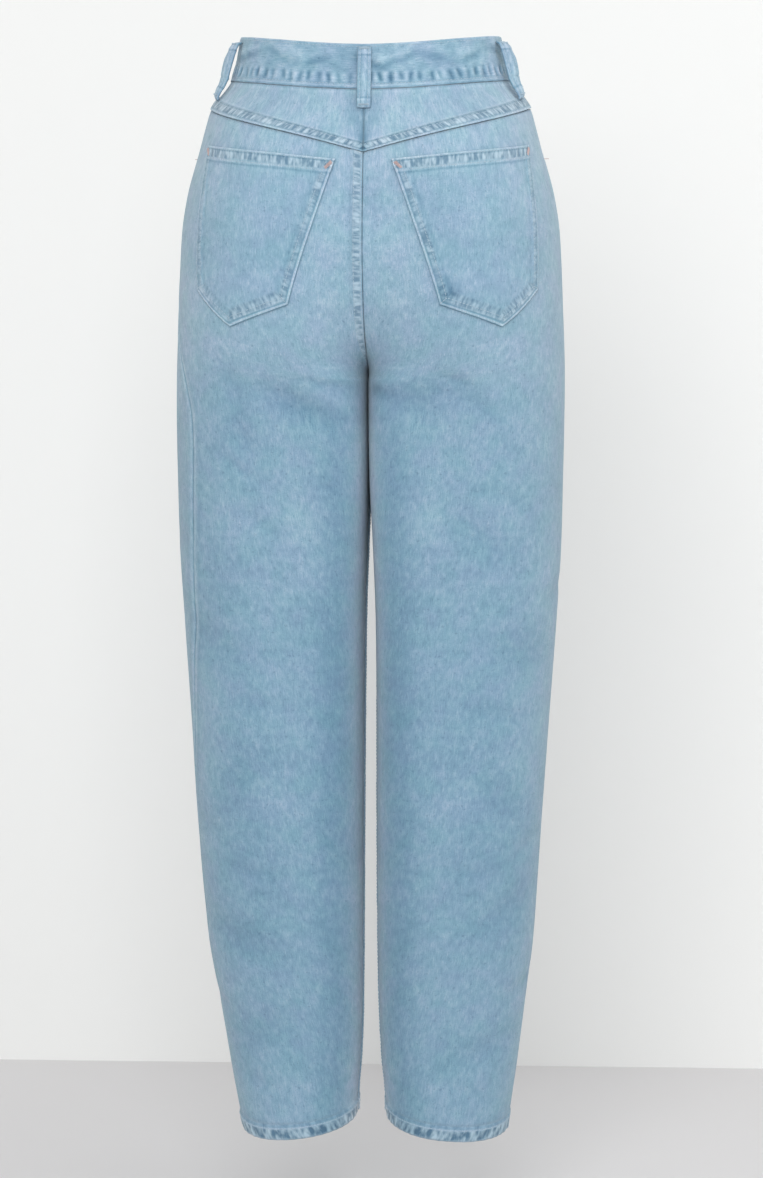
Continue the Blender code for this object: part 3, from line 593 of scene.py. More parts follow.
def make_denim(name, inside=False):
    """Stone-washed denim, or its paler inner face."""
    material, tree, shader = new_material(name)
    cloth = add_node(tree, "ShaderNodeUVMap", {"uv_map": "cloth"}).outputs["UV"]

    def stretched(scale):
        return add_node(
            tree, "ShaderNodeVectorMath", {"operation": "MULTIPLY"}, {0: cloth, 1: scale}
        ).outputs[0]

    streak = noise(tree, stretched(WARP_STREAK), 1.0, 3.0, 0.6)
    speck = noise(tree, cloth, SPECK, 1.0)
    blotch = noise(tree, stretched(BLOTCH), 1.0, 3.0, 0.65)
    wash = maths(tree, "MULTIPLY_ADD", spread_range(tree, streak, 0.28, 0.72), 0.30, 0.0)
    for layer, low, share in (
        (speck, 0.25, 0.20),
        (blotch, 0.32, 0.25),
        (noise(tree, cloth, CLOUD, 4.0, 0.62), 0.30, 0.16),
        (noise(tree, cloth, WIDE_CLOUD, 2.0), 0.30, 0.08),
    ):
        spread = spread_range(tree, layer, low, 1 - low)
        wash = maths(tree, "MULTIPLY_ADD", spread, share, wash)
    darker = spread_range(tree, wash, 0.12, 0.5)
    darker = mix_colour(tree, darker, linear(DENIM_DARK), linear(DENIM_MID))
    colour = mix_colour(tree, spread_range(tree, wash, 0.5, 0.92), darker, linear(DENIM_LIGHT))
    flaw = spread_range(tree, noise(tree, cloth, FLAW, 2.0), 0.60, 0.76, 0.0, 0.5)
    colour = mix_colour(tree, flaw, colour, linear(ROPE_DARK))
    slub = spread_range(tree, noise(tree, stretched(SLUB), 1.0, 1.0), 0.60, 0.80, 0.0, 0.5)
    colour = mix_colour(tree, slub, colour, linear(DENIM_LIGHT))
    cast = spread_range(tree, noise(tree, cloth, CLOUD * 1.6, 2.0), 0.35, 0.65)
    colour = mix_colour(tree, 1.0, colour, mix_colour(tree, cast, TEAL_CAST, VIOLET_CAST), "MULTIPLY")

    def number(name):
        return add_node(tree, "ShaderNodeAttribute", {"attribute_name": name}).outputs["Fac"]

    mark, tone = number("mark"), number("tone")
    inward = maths(tree, "MULTIPLY", number("seam_in"), 0.3)
    rope_at = add_node(
        tree, "ShaderNodeCombineXYZ", links={"X": number("seam_along"), "Y": inward}
    ).outputs[0]
    rope = noise(tree, rope_at, ROPE_MARK, 2.0, 0.5)
    roped = spread_range(tree, rope, 0.38, 0.64)
    colour = mix_colour(tree, mark, colour, mix_colour(tree, roped, linear(ROPE_DARK), linear(ROPE_LIGHT)))
    tone_rgb = add_node(
        tree,
        "ShaderNodeCombineXYZ",
        links={
            "X": maths(tree, "POWER", tone, RED_POWER),
            "Y": tone,
            "Z": maths(tree, "POWER", tone, BLUE_POWER),
        },
    ).outputs[0]
    colour = mix_colour(tree, 1.0, colour, tone_rgb, "MULTIPLY")
    if inside:
        colour = mix_colour(tree, 0.62, colour, linear(INNER_FACE))
    u_v = add_node(tree, "ShaderNodeSeparateXYZ", links={"Vector": cloth}).outputs
    diagonal = maths(tree, "MULTIPLY_ADD", u_v["Y"], 0.9, u_v["X"])
    twill = maths(tree, "SINE", maths(tree, "MULTIPLY", diagonal, 2 * math.pi / TWILL_PITCH))
    relief = maths(tree, "MULTIPLY_ADD", twill, 0.22, maths(tree, "MULTIPLY", streak, 1.6))
    relief = maths(tree, "MULTIPLY_ADD", speck, 0.5, relief)
    relief = maths(tree, "MULTIPLY_ADD", blotch, 2.5, relief)
    relief = maths(tree, "MULTIPLY_ADD", maths(tree, "MULTIPLY", mark, rope), 6.0, relief)
    bump = add_node(
        tree, "ShaderNodeBump", links={"Height": relief, "Distance": 0.00024, "Strength": 0.9}
    ).outputs["Normal"]
    rough = spread_range(tree, wash, 0.0, 1.0, 0.95, 0.82)
    tree.links.new(colour, shader.inputs["Base Color"])
    tree.links.new(bump, shader.inputs["Normal"])
    tree.links.new(rough, shader.inputs["Roughness"])
    shader.inputs["Sheen Weight"].default_value = 0.26
    shader.inputs["Sheen Roughness"].default_value = 0.55
    shader.inputs["Sheen Tint"].default_value = (1.0, 0.93, 0.80, 1)
    shader.inputs["Specular IOR Level"].default_value = 0.2
    return material


DENIM = make_denim("washed_denim")
DENIM_INSIDE = make_denim("washed_denim_inside", inside=True)
print("Denim made")

# %% [markdown]
# Sewing thread is twisted polyester over cotton. On these jeans most of it was sewn tone on tone
# and has washed out to a pale blue, and the bar tacks that hold the corners are a faded apricot.

# %% Threads and brass
def make_thread(name, colour, shade):
    """Twisted thread, lighter and darker along its turns."""
    material, tree, shader = new_material(name)
    place = add_node(tree, "ShaderNodeTexCoord").outputs["Object"]
    fibre = noise(tree, place, 1500.0, 2.0)
    mixed = mix_colour(tree, spread_range(tree, fibre, 0.3, 0.7), linear(shade), linear(colour))
    bump = add_node(
        tree, "ShaderNodeBump", links={"Height": fibre, "Distance": 0.0001, "Strength": 0.6}
    ).outputs["Normal"]
    tree.links.new(mixed, shader.inputs["Base Color"])
    tree.links.new(bump, shader.inputs["Normal"])
    shader.inputs["Roughness"].default_value = 0.7
    shader.inputs["Sheen Weight"].default_value = 0.2
    return material


def make_brass(name):
    """Aged brass: a warm metal, dulled and spotted where the wash has reached it."""
    material, tree, shader = new_material(name)
    place = add_node(tree, "ShaderNodeTexCoord").outputs["Object"]
    spots = noise(tree, place, 900.0, 3.0, 0.6)
    share = spread_range(tree, spots, 0.35, 0.7)
    colour = mix_colour(tree, share, linear("#7D6747"), linear("#C2A675"))
    tree.links.new(colour, shader.inputs["Base Color"])
    tree.links.new(spread_range(tree, spots, 0.3, 0.7, 0.5, 0.3), shader.inputs["Roughness"])
    bump = add_node(
        tree, "ShaderNodeBump", links={"Height": spots, "Distance": 0.0001, "Strength": 0.5}
    ).outputs["Normal"]
    tree.links.new(bump, shader.inputs["Normal"])
    shader.inputs["Metallic"].default_value = 1.0
    return material


THREAD = make_thread("pale_blue_thread", "#B4C8D4", "#8FA9BA")
TACK_THREAD = make_thread("apricot_thread", "#CDB9B8", "#B59A98")
BRASS = make_brass("aged_brass_cap")

# %% [markdown]
# One function lays every piece of cloth. It takes a flat grid, as bmesh makes it, moves each
# point to its place on the body, gives it the cloth's own coordinates in metres and the numbers
# that the denim reads, and thickens it inwards to the weight of denim. The number tone is how
# much paler or darker the cloth is there, from the wash and from painted shade and light, mark is
# how strongly a seam ropes, and the two seam numbers are the distances along that seam and in from its
# edge.

# %% Laying a piece of cloth
PANEL_WALL = 1.2
PIECES = {}


def outward_order(points, normals):
    """True if the grid's faces would look inwards and its columns must be turned round."""
    i, j = points.shape[0] // 2, points.shape[1] // 2
    across = points[i, j + 1] - points[i, j]
    down = points[i + 1, j] - points[i, j]
    return np.dot(np.cross(across, down), normals[i, j]) < 0


def lay_cloth(name, node, grid, wall=PANEL_WALL):
    """Makes a sheet from a grid's points, normals, cloth coordinates and denim numbers."""
    PIECES[name] = grid
    turn = outward_order(grid["points"], grid["normals"])
    order = slice(None, None, -1) if turn else slice(None)
    picked = {key: value[:, order] for key, value in grid.items()}
    rows, columns = picked["points"].shape[:2]
    shape = bmesh.new()
    bmesh.ops.create_grid(shape, x_segments=columns - 1, y_segments=rows - 1, size=0.5)
    for vert, place in zip(shape.verts, picked["points"].reshape(-1, 3) * MM):
        vert.co = place
    mesh = bpy.data.meshes.new(name)
    shape.to_mesh(mesh)
    shape.free()
    corner = np.empty(len(mesh.loops), int)
    mesh.loops.foreach_get("vertex_index", corner)
    flat = np.stack([picked["u"], picked["v"]], axis=-1).reshape(-1, 2) * MM
    mesh.uv_layers.new(name="cloth").data.foreach_set("uv", flat[corner].ravel())
    for key, scale in (("tone", 1.0), ("mark", 1.0), ("seam_along", MM), ("seam_in", MM)):
        layer = mesh.attributes.new(key, "FLOAT", "POINT")
        values = np.broadcast_to(picked.get(key, 0.0), (rows, columns))
        layer.data.foreach_set("value", (values * scale).astype(np.float32).ravel())
    mesh.materials.append(DENIM)
    mesh.materials.append(DENIM_INSIDE)
    mesh.shade_smooth()
    piece = bpy.data.objects.new(name, mesh)
    bpy.context.scene.collection.objects.link(piece)
    thicken = piece.modifiers.new("cloth", "SOLIDIFY")
    thicken.thickness = wall * MM
    thicken.offset = -1
    thicken.material_offset = 1
    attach(piece, "root")
    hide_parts(node)


def run_along(points, axis):
    """Distance travelled along the rows (axis 1) or down the columns (axis 0)."""
    steps = np.linalg.norm(np.diff(points, axis=axis), axis=2)
    start = np.zeros_like(steps[:, :1]) if axis == 1 else np.zeros_like(steps[:1])
    return np.concatenate([start, np.cumsum(steps, axis=axis)], axis=axis)


# %% [markdown]
# The wash fades the seat and thighs most, because they rub, and leaves the knees' backs deeper.
# A short table gives that by height, and a second one soft patches of painted shade under the
# seat and at the crotch, with one paler patch. Lines that run beside a seam, such as a rubbed pale
# edge or the painted shade of the ditch next to it, are given by where they lie and how wide they are.

# %% Wash by height and painted shade
TONES = table(
    "drop tone",
    (0, 1.04),
    (64, 1.15),
    (150, 1.11),
    (240, 1.12),
    (300, 1.07),
    (350, 0.97),
    (420, 0.98),
    (560, 0.95),
    (700, 0.93),
    (900, 0.96),
    (983, 0.99),
)
# Soft patches, mostly painted shade, under the seat and at the crotch.
PAINTED_SHADE_PATCHES = table(
    "hand around drop wide high tone",
    (-1, 245, 317, 10, 5, -0.26),
    (-1, 208, 317, 36, 16, -0.14),
    (-1, 228, 182, 20, 24, -0.06),
    (-1, 112, 300, 40, 26, 0.05),
    (1, 226, 311, 32, 9, -0.10),
    (1, 190, 338, 36, 10, -0.05),
)


def beside(distance, place, width):
    """1 on a line at this distance from a seam, fading out to either side."""
    return np.exp(-(((distance - place) / width) ** 2))


def lined(distance, *lines):
    """What the tone is multiplied by for its lines beside a seam, rubbed pale or painted shade: their
    places, widths and amounts.
    """
    factor = 1.0
    for place, width, amount in lines:
        factor = factor * (1 + amount * beside(distance, place, width))
    return factor


def between(distance, start, end, ease=1.2):
    """1 from start to end of a distance, with soft ends."""
    return smooth((distance - start + ease) / ease) * smooth((end + ease - distance) / ease)


FOLD_WEAR_AND_SHADE = 0.045
CREASE_WEIGHT = 1.3
CLOUD_TONE = 0.032


def wash_and_shade_tone(hand, around, drop):
    """How pale the cloth is, from the wash and from painted shade and light: 1 is the middle blue."""
    tone = read(TONES, "tone", drop)
    inner_x = on_form(hand, around, drop)[..., 0] - read(SIDE, "inner_x", drop)
    leg = smooth((drop - CROTCH - 10) / 50)
    # Below the crotch the inner seam is painted lighter, as painted light that offsets the shade between
    # the legs, with a darker band beside it.
    tone = tone * (1 + leg * (0.46 * beside(inner_x, 0, 8) - 0.15 * beside(inner_x, 24, 16)))
    # Soft patches of painted shade under the seat and at the crotch, and one paler patch.
    for side, place, low, wide, high, amount in zip(*PAINTED_SHADE_PATCHES.values()):
        if side == hand:
            patch = np.exp(-(((around - place) / wide) ** 2) - ((drop - low) / high) ** 2)
            tone = tone * (1 + amount * patch)
    # Fold and crease troughs are painted darker: painted shade in the hollows, and partly the less rubbed
    # indigo there.
    creases = fold_rise(hand, around, drop, CREASES)
    folds = fold_rise(hand, around, drop, FOLDS) + CREASE_WEIGHT * creases
    tone = tone * (1 + FOLD_WEAR_AND_SHADE * folds)
    clouds = mottle(around / 46 + 7 * hand, drop / 60, 5) + 0.6 * mottle(around / 17, drop / 24, 9)
    return tone * (1 + CLOUD_TONE * clouds)


GRAIN_DROP = 240.0


def grain(hand, around, drop):
    """Cloth coordinate round the body, which keeps the warp upright from the crotch to the waist."""
    held = np.minimum(drop, GRAIN_DROP)
    return around * half_length(hand, "back", GRAIN_DROP) / half_length(hand, "back", held)


# %% [markdown]
# Front and back panels are the largest pieces. Their columns are close together at the edges,
# where a felled seam stands up, and their rows at the hem. Roping is laid into the hem and the
# felled strips as slanted ridges under a millimetre high.

# %% Front and back panels
INNER_STATIONS = np.array([12.8, 12.0, 11.4, 10.6, 9.4, 7.8, 6.2, 4.6, 3.0, 1.8, 0.9, 0.15])
OUTER_STATIONS = np.array([0.15, 0.9, 1.8, 3.0, 4.6, 6.4])
HEM_STATIONS = np.array([13.4, 12.6, 12.0, 11.2, 10.0, 8.6, 7.2, 5.8, 4.4, 3.0, 1.8, 0.8, 0.0])
PANEL_GRIDS = {"back": (76, 2.6), "front": (64, 3.3)}
TRACK_TOP, TRACK_END = 215, 860


def roping(along, inward, pitch, seed):
    """Slanted, uneven ridges of a shrunken seam, from -1 to 1."""
    phase = (along + 0.55 * inward) / pitch + 0.35 * wobble(along / 23, seed)
    return 0.7 * np.sin(2 * math.pi * phase) + 0.5 * mottle(along / (0.6 * pitch), inward / 7, seed)


def step_up(inward, width, slope=1.2):
    """1 inside a strip of this width along an edge, easing to 0 beyond it."""
    return smooth((width + slope - inward) / slope)


def scoop(drop, beyond=0.0):
    """How far the front pocket mouth's edge lies from the outseam."""
    down = (drop - BAND_SEAM) / (SCOOP_DOWN + beyond)
    return (SCOOP_ACROSS + beyond) * np.sqrt(np.clip(1 - down * down, 0, 1))


def panel_grid(hand, face):
    """The grid of a front or back panel."""
    columns, step = PANEL_GRIDS[face]
    top = (YOKE_SEAM if face == "back" else BAND_SEAM) + ROW_GAP
    drops = np.arange(top, HEM - HEM_STATIONS[0] - step / 2, step)
    if face == "front":
        mouth = BAND_SEAM + SCOOP_DOWN * np.sin(np.linspace(0.003, 1, 34) * math.pi / 2)
        drops = np.append(mouth, drops[drops > mouth[-1] + 1])
    drops = np.append(drops, HEM - HEM_STATIONS)[:, None]
    across = panel_length(hand, face, drops)
    start = np.zeros_like(across)
    if face == "front":
        start = np.maximum(scoop(drops) - OUTER_STATIONS[0], 0)
    left, right = start + OUTER_STATIONS, across - INNER_STATIONS
    middle = left[:, -1:] + (right[:, :1] - left[:, -1:]) * np.linspace(0, 1, columns)[1:-1]
    station = np.hstack([left, middle, right])
    sign = 1 if face == "back" else -1
    around = seam(hand, drops) + sign * station
    drop = np.broadcast_to(drops, around.shape)
    base, normals = skin(hand, around, drop)
    down = run_along(base, 0)
    from_hem, from_top = down[-1:] - down, down
    from_inner, from_outer = across - station, station - start
    hem = step_up(from_hem, HEM_FOLD)
    seed = 11 + hand + (face == "front")
    if face == "back" and hand > 0:
        fell = step_up(from_inner, FELL_WIDTH) * (1 - smooth((drop - CROTCH + 20) / 20))
    elif face == "front":
        fell = step_up(from_inner, FELL_WIDTH) * smooth((drop - CROTCH) / 30)
    else:
        fell = np.zeros_like(station)
    lift = HEM_RISE * hem + FELL_RISE * fell
    lift += hem * 0.42 * roping(around, from_hem, 8.2, seed)
    lift += fell * 0.22 * roping(drop, from_inner, 6.5, seed + 3)
    lift -= 0.2 * beside(from_inner, 0, 1.2) + 0.4 * beside(from_outer, 0, 1.3)
    lift += 0.45 * np.exp(-(((from_outer - 8) / 4) ** 2)) * (drop > 110)
    lift -= 0.35 * np.exp(-(((from_top - 1) / 1.5) ** 2))
    lift += 0.16 * mottle(around / 5.5, drop / 9, seed + 5) * step_up(from_inner, 22, 14)
    in_hem = from_hem < 17
    mark = 0.94 * between(from_hem, 1.4, 9.2) + 0.34 * between(from_hem, 12.0, 16.0)
    if face == "back":
        seat_mark = 0.62 * between(from_inner, 2.6, 7.6) * (1 - smooth((drop - CROTCH + 20) / 20))
    else:
        seat_mark = 0.3 * between(from_inner, 2.6, 7.6) * smooth((drop - CROTCH) / 30)
    mark = np.where(in_hem, mark, seat_mark * (fell > 0.02))
    tone = wash_and_shade_tone(hand, around, drop)
    track = (drop > TRACK_TOP) & (drop < TRACK_END)
    # In each seam's ditch, just past the fell's raised edge and just above the hem, the dark lines are
    # painted shade.
    tone = tone * lined(from_outer, (3.4, 2.4, 0.17 * track), (9.5, 2.6, -0.10 * track), (0, 1.0, -0.20))
    tone = tone * lined(from_inner, (0, 0.9, -0.12), (1.6, 1.0, 0.10 * fell), (10.8, 1.0, -0.10 * fell))
    tone = tone * lined(from_hem, (10.2, 0.9, 0.34), (12.4, 0.9, -0.14), (0.4, 1.0, 0.26))
    return {
        "points": mirrored(hand, base + lift[..., None] * normals),
        "normals": normals * [hand, 1, 1],
        "u": grain(hand, around, drop),
        "v": -drop,
        "tone": tone,
        "mark": mark,
        "seam_along": np.where(in_hem, 0.66 * (around + 0.15 * from_hem), drop),
        "seam_in": np.where(in_hem, from_hem, from_inner),
        "from_hem": from_hem,
        "from_inner": from_inner,
    }


for hand, side in SIDES.items():
    for face in FACES:
        lay_cloth(f"{face}_panel_cloth_{side}", f"{face}_panel_{side}", panel_grid(hand, face))
print("Panels:", [p["points"].shape[:2] for p in PIECES.values()])

# %% [markdown]
# The yoke is the shaped piece that gives the seat its form without a dart. It is cut between two
# rows of the form, so its height runs from narrow at the side to deep at the centre, and its lower
# edge is folded over the back panel and felled.

# %% Yokes
YOKE_UPS = np.array([0.0, 0.5, 1.2, 2.2, 3.4, 4.8, 6.2, 7.6, 8.8, 9.8, 10.6, 11.4, 12.2])


def yoke_grid(hand):
    """The grid of one half of the yoke."""
    top, bottom = BAND_SEAM + ROW_GAP, YOKE_SEAM - ROW_GAP
    across = panel_length(hand, "back", top)
    share = np.linspace(SEAM_GAP / 2 / across, 1 - SEAM_GAP / 2 / across, 90)[None, :]
    high = on_form(hand, around_at(hand, "back", share, top), top)
    low = on_form(hand, around_at(hand, "back", share, bottom), bottom)
    height = (high - low)[..., 2]
    strip = np.minimum(YOKE_UPS[-1], height - 1.5)
    above = strip + (height - strip) * np.linspace(1, 0, 26)[:-1, None]
    ups = np.vstack([above, (YOKE_UPS[::-1, None] / YOKE_UPS[-1]) * strip])
    drop = bottom - (bottom - top) * ups / height
    around = around_at(hand, "back", np.broadcast_to(share, drop.shape), drop)
    base, normals = skin(hand, around, drop)
    fell = step_up(ups, FELL_WIDTH)
    from_inner = panel_length(hand, "back", drop) * (1 - share)
    from_top = height - ups
    lift = FELL_RISE * fell + fell * 0.3 * roping(around, ups, 6.4, 31 + hand)
    lift -= 0.2 * beside(from_inner, 0, 1.2) + 0.2 * beside(from_top, 0, 1.4)
    gather = step_up(from_top, 3, 12) * mottle(around / 5, from_top / 14, 33)
    # The centre seam's ditch and the line just under the waistband are painted darker as shade.
    tone = wash_and_shade_tone(hand, around, drop) * 1.02 * lined(from_inner, (0, 1.2, -0.2))
    tone = tone * lined(from_top, (0, 1.4, -0.14), (3.4, 1.2, 0.10))
    # Painted shadow round the tip of the yoke's V under the centre loop, and painted shade beside the
    # centre seam behind the loop's top.
    tone = tone * (1 - 0.36 * np.exp(-((from_inner / 6) ** 2 + ((ups - 11) / 15) ** 2)))
    tone = tone * (1 - 0.10 * beside(from_inner, 6, 10) * between(ups, 26, 60, 8))
    tone = tone * lined(ups, (1.1, 0.9, 0.26), (2.7, 0.7, -0.24), (9.2, 0.8, -0.26), (11.0, 0.8, 0.14))
    return {
        "points": mirrored(hand, base + (lift + 0.25 * gather)[..., None] * normals),
        "normals": normals * [hand, 1, 1],
        "u": grain(hand, around, drop),
        "v": base[..., 2],
        "tone": tone,
        "mark": 0.78 * between(ups, 3.2, 8.6, 0.8),
        "seam_along": around,
        "seam_in": ups,
        "ups": ups,
    }


for hand, side in SIDES.items():
    lay_cloth(f"yoke_cloth_{side}", f"yoke_{side}", yoke_grid(hand))
print("Yoke halves:", len(SIDES))

# %% [markdown]
# The waistband is one straight strip, sewn on top of the body's edge. The band is cut on the
# length of the cloth and shrinks more than the curved edge under it, so its lower half gathers
# into a row of dimples, and soft slanted folds run out of them. Each dimple is placed by a loop
# with a seeded shift, because an even row would look stamped.

# %% Waistband
BAND_ROWS = np.array([0.0, 0.5, 1.3, 2.4, 3.8, 5.4, 7.2, 9.0, 10.8, 12.6, 14.4, 16.0, 17.6, 19.2])
BAND_ROWS = np.append(BAND_ROWS, np.arange(20.6, 37.6, 1.2))
BAND_ROWS = np.append(BAND_ROWS, [38.2, 38.9, 39.4, 39.8])
BAND_STEP = 1.2
DIMPLE_PITCH = 8.8
BAND_FOLDS = table(
    "along drop end_along end_drop width rise",
    (40, 18, 70, 8, 4, -0.9),
    (96, 20, 128, 14, 4, -0.8),
    (150, 8, 186, 18, 5, -1.0),
    (214, 20, 250, 12, 4, -0.8),
    (262, 10, 296, 20, 5, -1.1),
    (300, 20, 322, 12, 4, -0.9),
    (346, 12, 372, 21, 4, -1.2),
    (366, 20, 398, 11, 4, -0.9),
    (398, 7, 430, 17, 5, -1.0),
    (440, 20, 470, 13, 4, -0.9),
    (476, 8, 512, 18, 5, -0.8),
    (548, 19, 584, 10, 4, -0.9),
    (604, 11, 632, 19, 4, -0.8),
)


def band_stations():
    """Hand, share and inward sink of each column, from the overlap's end round to the underlap's."""
    across = panel_length(1, "front", HOLD_DROP)
    back = panel_length(1, "back", HOLD_DROP)
    over, under = OVERLAP / across, UNDERLAP / across
    front_steps, back_steps = int(across / BAND_STEP), int(back / BAND_STEP)
    runs = [(-1, "front", np.linspace(1 - over, 1, 10)[:-1], 0)]
    runs.append((1, "front", np.linspace(1, 0, front_steps), 0))
    runs.append((1, "back", np.linspace(0, 1, back_steps)[1:], 0))
    runs.append((-1, "back", np.linspace(1, 0, back_steps)[1:], 0))
    runs.append((-1, "front", np.linspace(0, 1, front_steps)[1:], 1))
    runs.append((1, "front", np.linspace(1, 1 - under, 20)[1:], 1))
    return runs, across


def band_grid():
    """The grid of the whole waistband."""
    runs, across = band_stations()
    drops = BAND_ROWS[:, None]
    parts = {"points": [], "normals": [], "u": [], "tone": []}
    for hand, face, share, late in runs:
        around = around_at(hand, face, share[None, :], drops)
        base, normals = skin(hand, around, np.broadcast_to(drops, around.shape))
        base, normals = base * [hand, 1, 1], normals * [hand, 1, 1]
        past = (share - (1 - (OVERLAP + UNDERLAP_EASE) / across)) * across / UNDERLAP_EASE
        sink = UNDERLAP_SINK * smooth(past) * late if hand < 0 else UNDERLAP_SINK * late + 0 * share
        ease = BAND_EDGE_EASE * (np.exp(-drops / 0.9) + np.exp(-(BAND_ROWS[-1] - drops) / 0.9))
        lift = BAND_PROUD - sink[None, :] - ease
        parts["points"].append(base + lift[..., None] * normals)
        parts["normals"].append(normals)
        parts["tone"].append(wash_and_shade_tone(hand, around, drops))
    grid = {key: np.concatenate(parts[key], axis=1) for key in ("points", "normals", "tone")}
    along = np.broadcast_to(run_along(grid["points"], 1)[12:13], grid["tone"].shape)
    drop = np.broadcast_to(drops, along.shape)
    lift = np.zeros_like(along)
    # Painted shade in the dimples and fold troughs, and painted light on their ridges and crests.
    shade_and_highlight = np.zeros_like(along)
    random = np.random.default_rng(21)
    for centre in np.arange(8.0, along.max() - 6, DIMPLE_PITCH):
        at = centre + random.uniform(-1.5, 1.5)
        level = 31.0 + random.uniform(-1.0, 1.0)
        deep = random.uniform(0.55, 1.0)
        lean = random.uniform(-0.2, 0.35)
        x = (along - at - lean * (drop - level)) / random.uniform(1.7, 2.4)
        y = ((drop - level) / random.uniform(4.2, 5.4)) ** 4
        pit = deep * np.exp(-(x**2) - y)
        ridge = deep * np.exp(-(((along - at - 4.4) / 1.9) ** 2) - y)
        lift += 0.5 * ridge - 1.1 * pit
        shade_and_highlight += 1.25 * pit - 0.6 * ridge
    for i in range(len(BAND_FOLDS["along"])):
        start = np.array([BAND_FOLDS["along"][i], BAND_FOLDS["drop"][i]])
        run = np.array([BAND_FOLDS["end_along"][i], BAND_FOLDS["end_drop"][i]]) - start
        x, y = along - start[0], drop - start[1]
        share = np.clip((x * run[0] + y * run[1]) / np.dot(run, run), 0, 1)
        away = np.hypot(x - share * run[0], y - share * run[1]) / BAND_FOLDS["width"][i]
        above = np.hypot(x - share * run[0], y + 4.2 - share * run[1]) / BAND_FOLDS["width"][i]
        swell = np.sin(math.pi * (0.15 + 0.7 * share))
        crease, crest = swell * np.exp(-(away**2)), swell * np.exp(-(above**2))
        lift += BAND_FOLDS["rise"][i] * (1.5 * crease - 0.9 * crest)
        shade_and_highlight += 0.72 * crease - 0.60 * crest
    lift -= 0.35 * beside(drop, 37.0, 0.8) + 0.3 * beside(drop, 2.6, 0.8)
    lift += 0.3 * mottle(along / 9, drop / 11, 23) + 0.12 * mottle(along / 3.2, drop / 5, 24)
    ends = np.minimum(along, along.max() - along)
    grid["points"] = grid["points"] + (lift * smooth(ends / 6))[..., None] * grid["normals"]
    lit = 1 + 0.09 * mottle(along / 14, drop / 8, 25) + 0.05 * mottle(along / 4, drop / 4, 26)
    # The band's lower edge, where it rolls onto the yoke, is painted darker as shade.
    edges = 0.14 * beside(drop, 39.4, 0.9) - 0.16 * beside(drop, 37.9, 0.7) - 0.24 * beside(drop, 0, 1.1)
    edges = edges + 0.12 * beside(drop, 36.4, 0.7)
    grid["tone"] = grid["tone"] * lit * (1 - 0.46 * shade_and_highlight) * (1 - edges)
    grid["u"], grid["v"] = -drop, along
    grid["seam_along"], grid["seam_in"] = along, drop
    grid["along"], grid["drop"] = along, drop
    return grid


lay_cloth("waistband_cloth", "waistband", band_grid(), BAND_WALL)
print("Waistband length:", round(float(PIECES["waistband_cloth"]["along"].max()), 1), "mm")

# %% [markdown]
# A patch pocket is cut flat, its top folded to a hem and its other edges turned under and sewn
# down with two rows. The patch takes its points from the back panel below it, so it follows every
# curve of the seat. The distance to each of its five edges is worked out on the flat pattern.

# %% Back pockets
POCKET_SIDES = (
    ("top_inner", "low_inner"),
    ("low_inner", "tip"),
    ("tip", "side_low"),
    ("side_low", "top_outer"),
)


def on_back(hand, from_centre, level):
    """Distance round and drop of points of the back, given from the centre and by height."""
    low, high = np.full(from_centre.shape, YOKE_SEAM), np.full(from_centre.shape, CROTCH)
    for _ in range(20):
        middle = (low + high) / 2
        around = half_length(hand, "back", middle) - from_centre
        above = HOLD_DROP - on_form(hand, around, middle)[..., 2] < level
        low, high = np.where(above, middle, low), np.where(above, high, middle)
    return half_length(hand, "back", low) - from_centre, low


def edge_distance(x, y, start, end):
    """Distance on the flat from points to the line through two corners."""
    run = np.array(end) - np.array(start)
    return np.abs((x - start[0]) * run[1] - (y - start[1]) * run[0]) / np.hypot(*run)


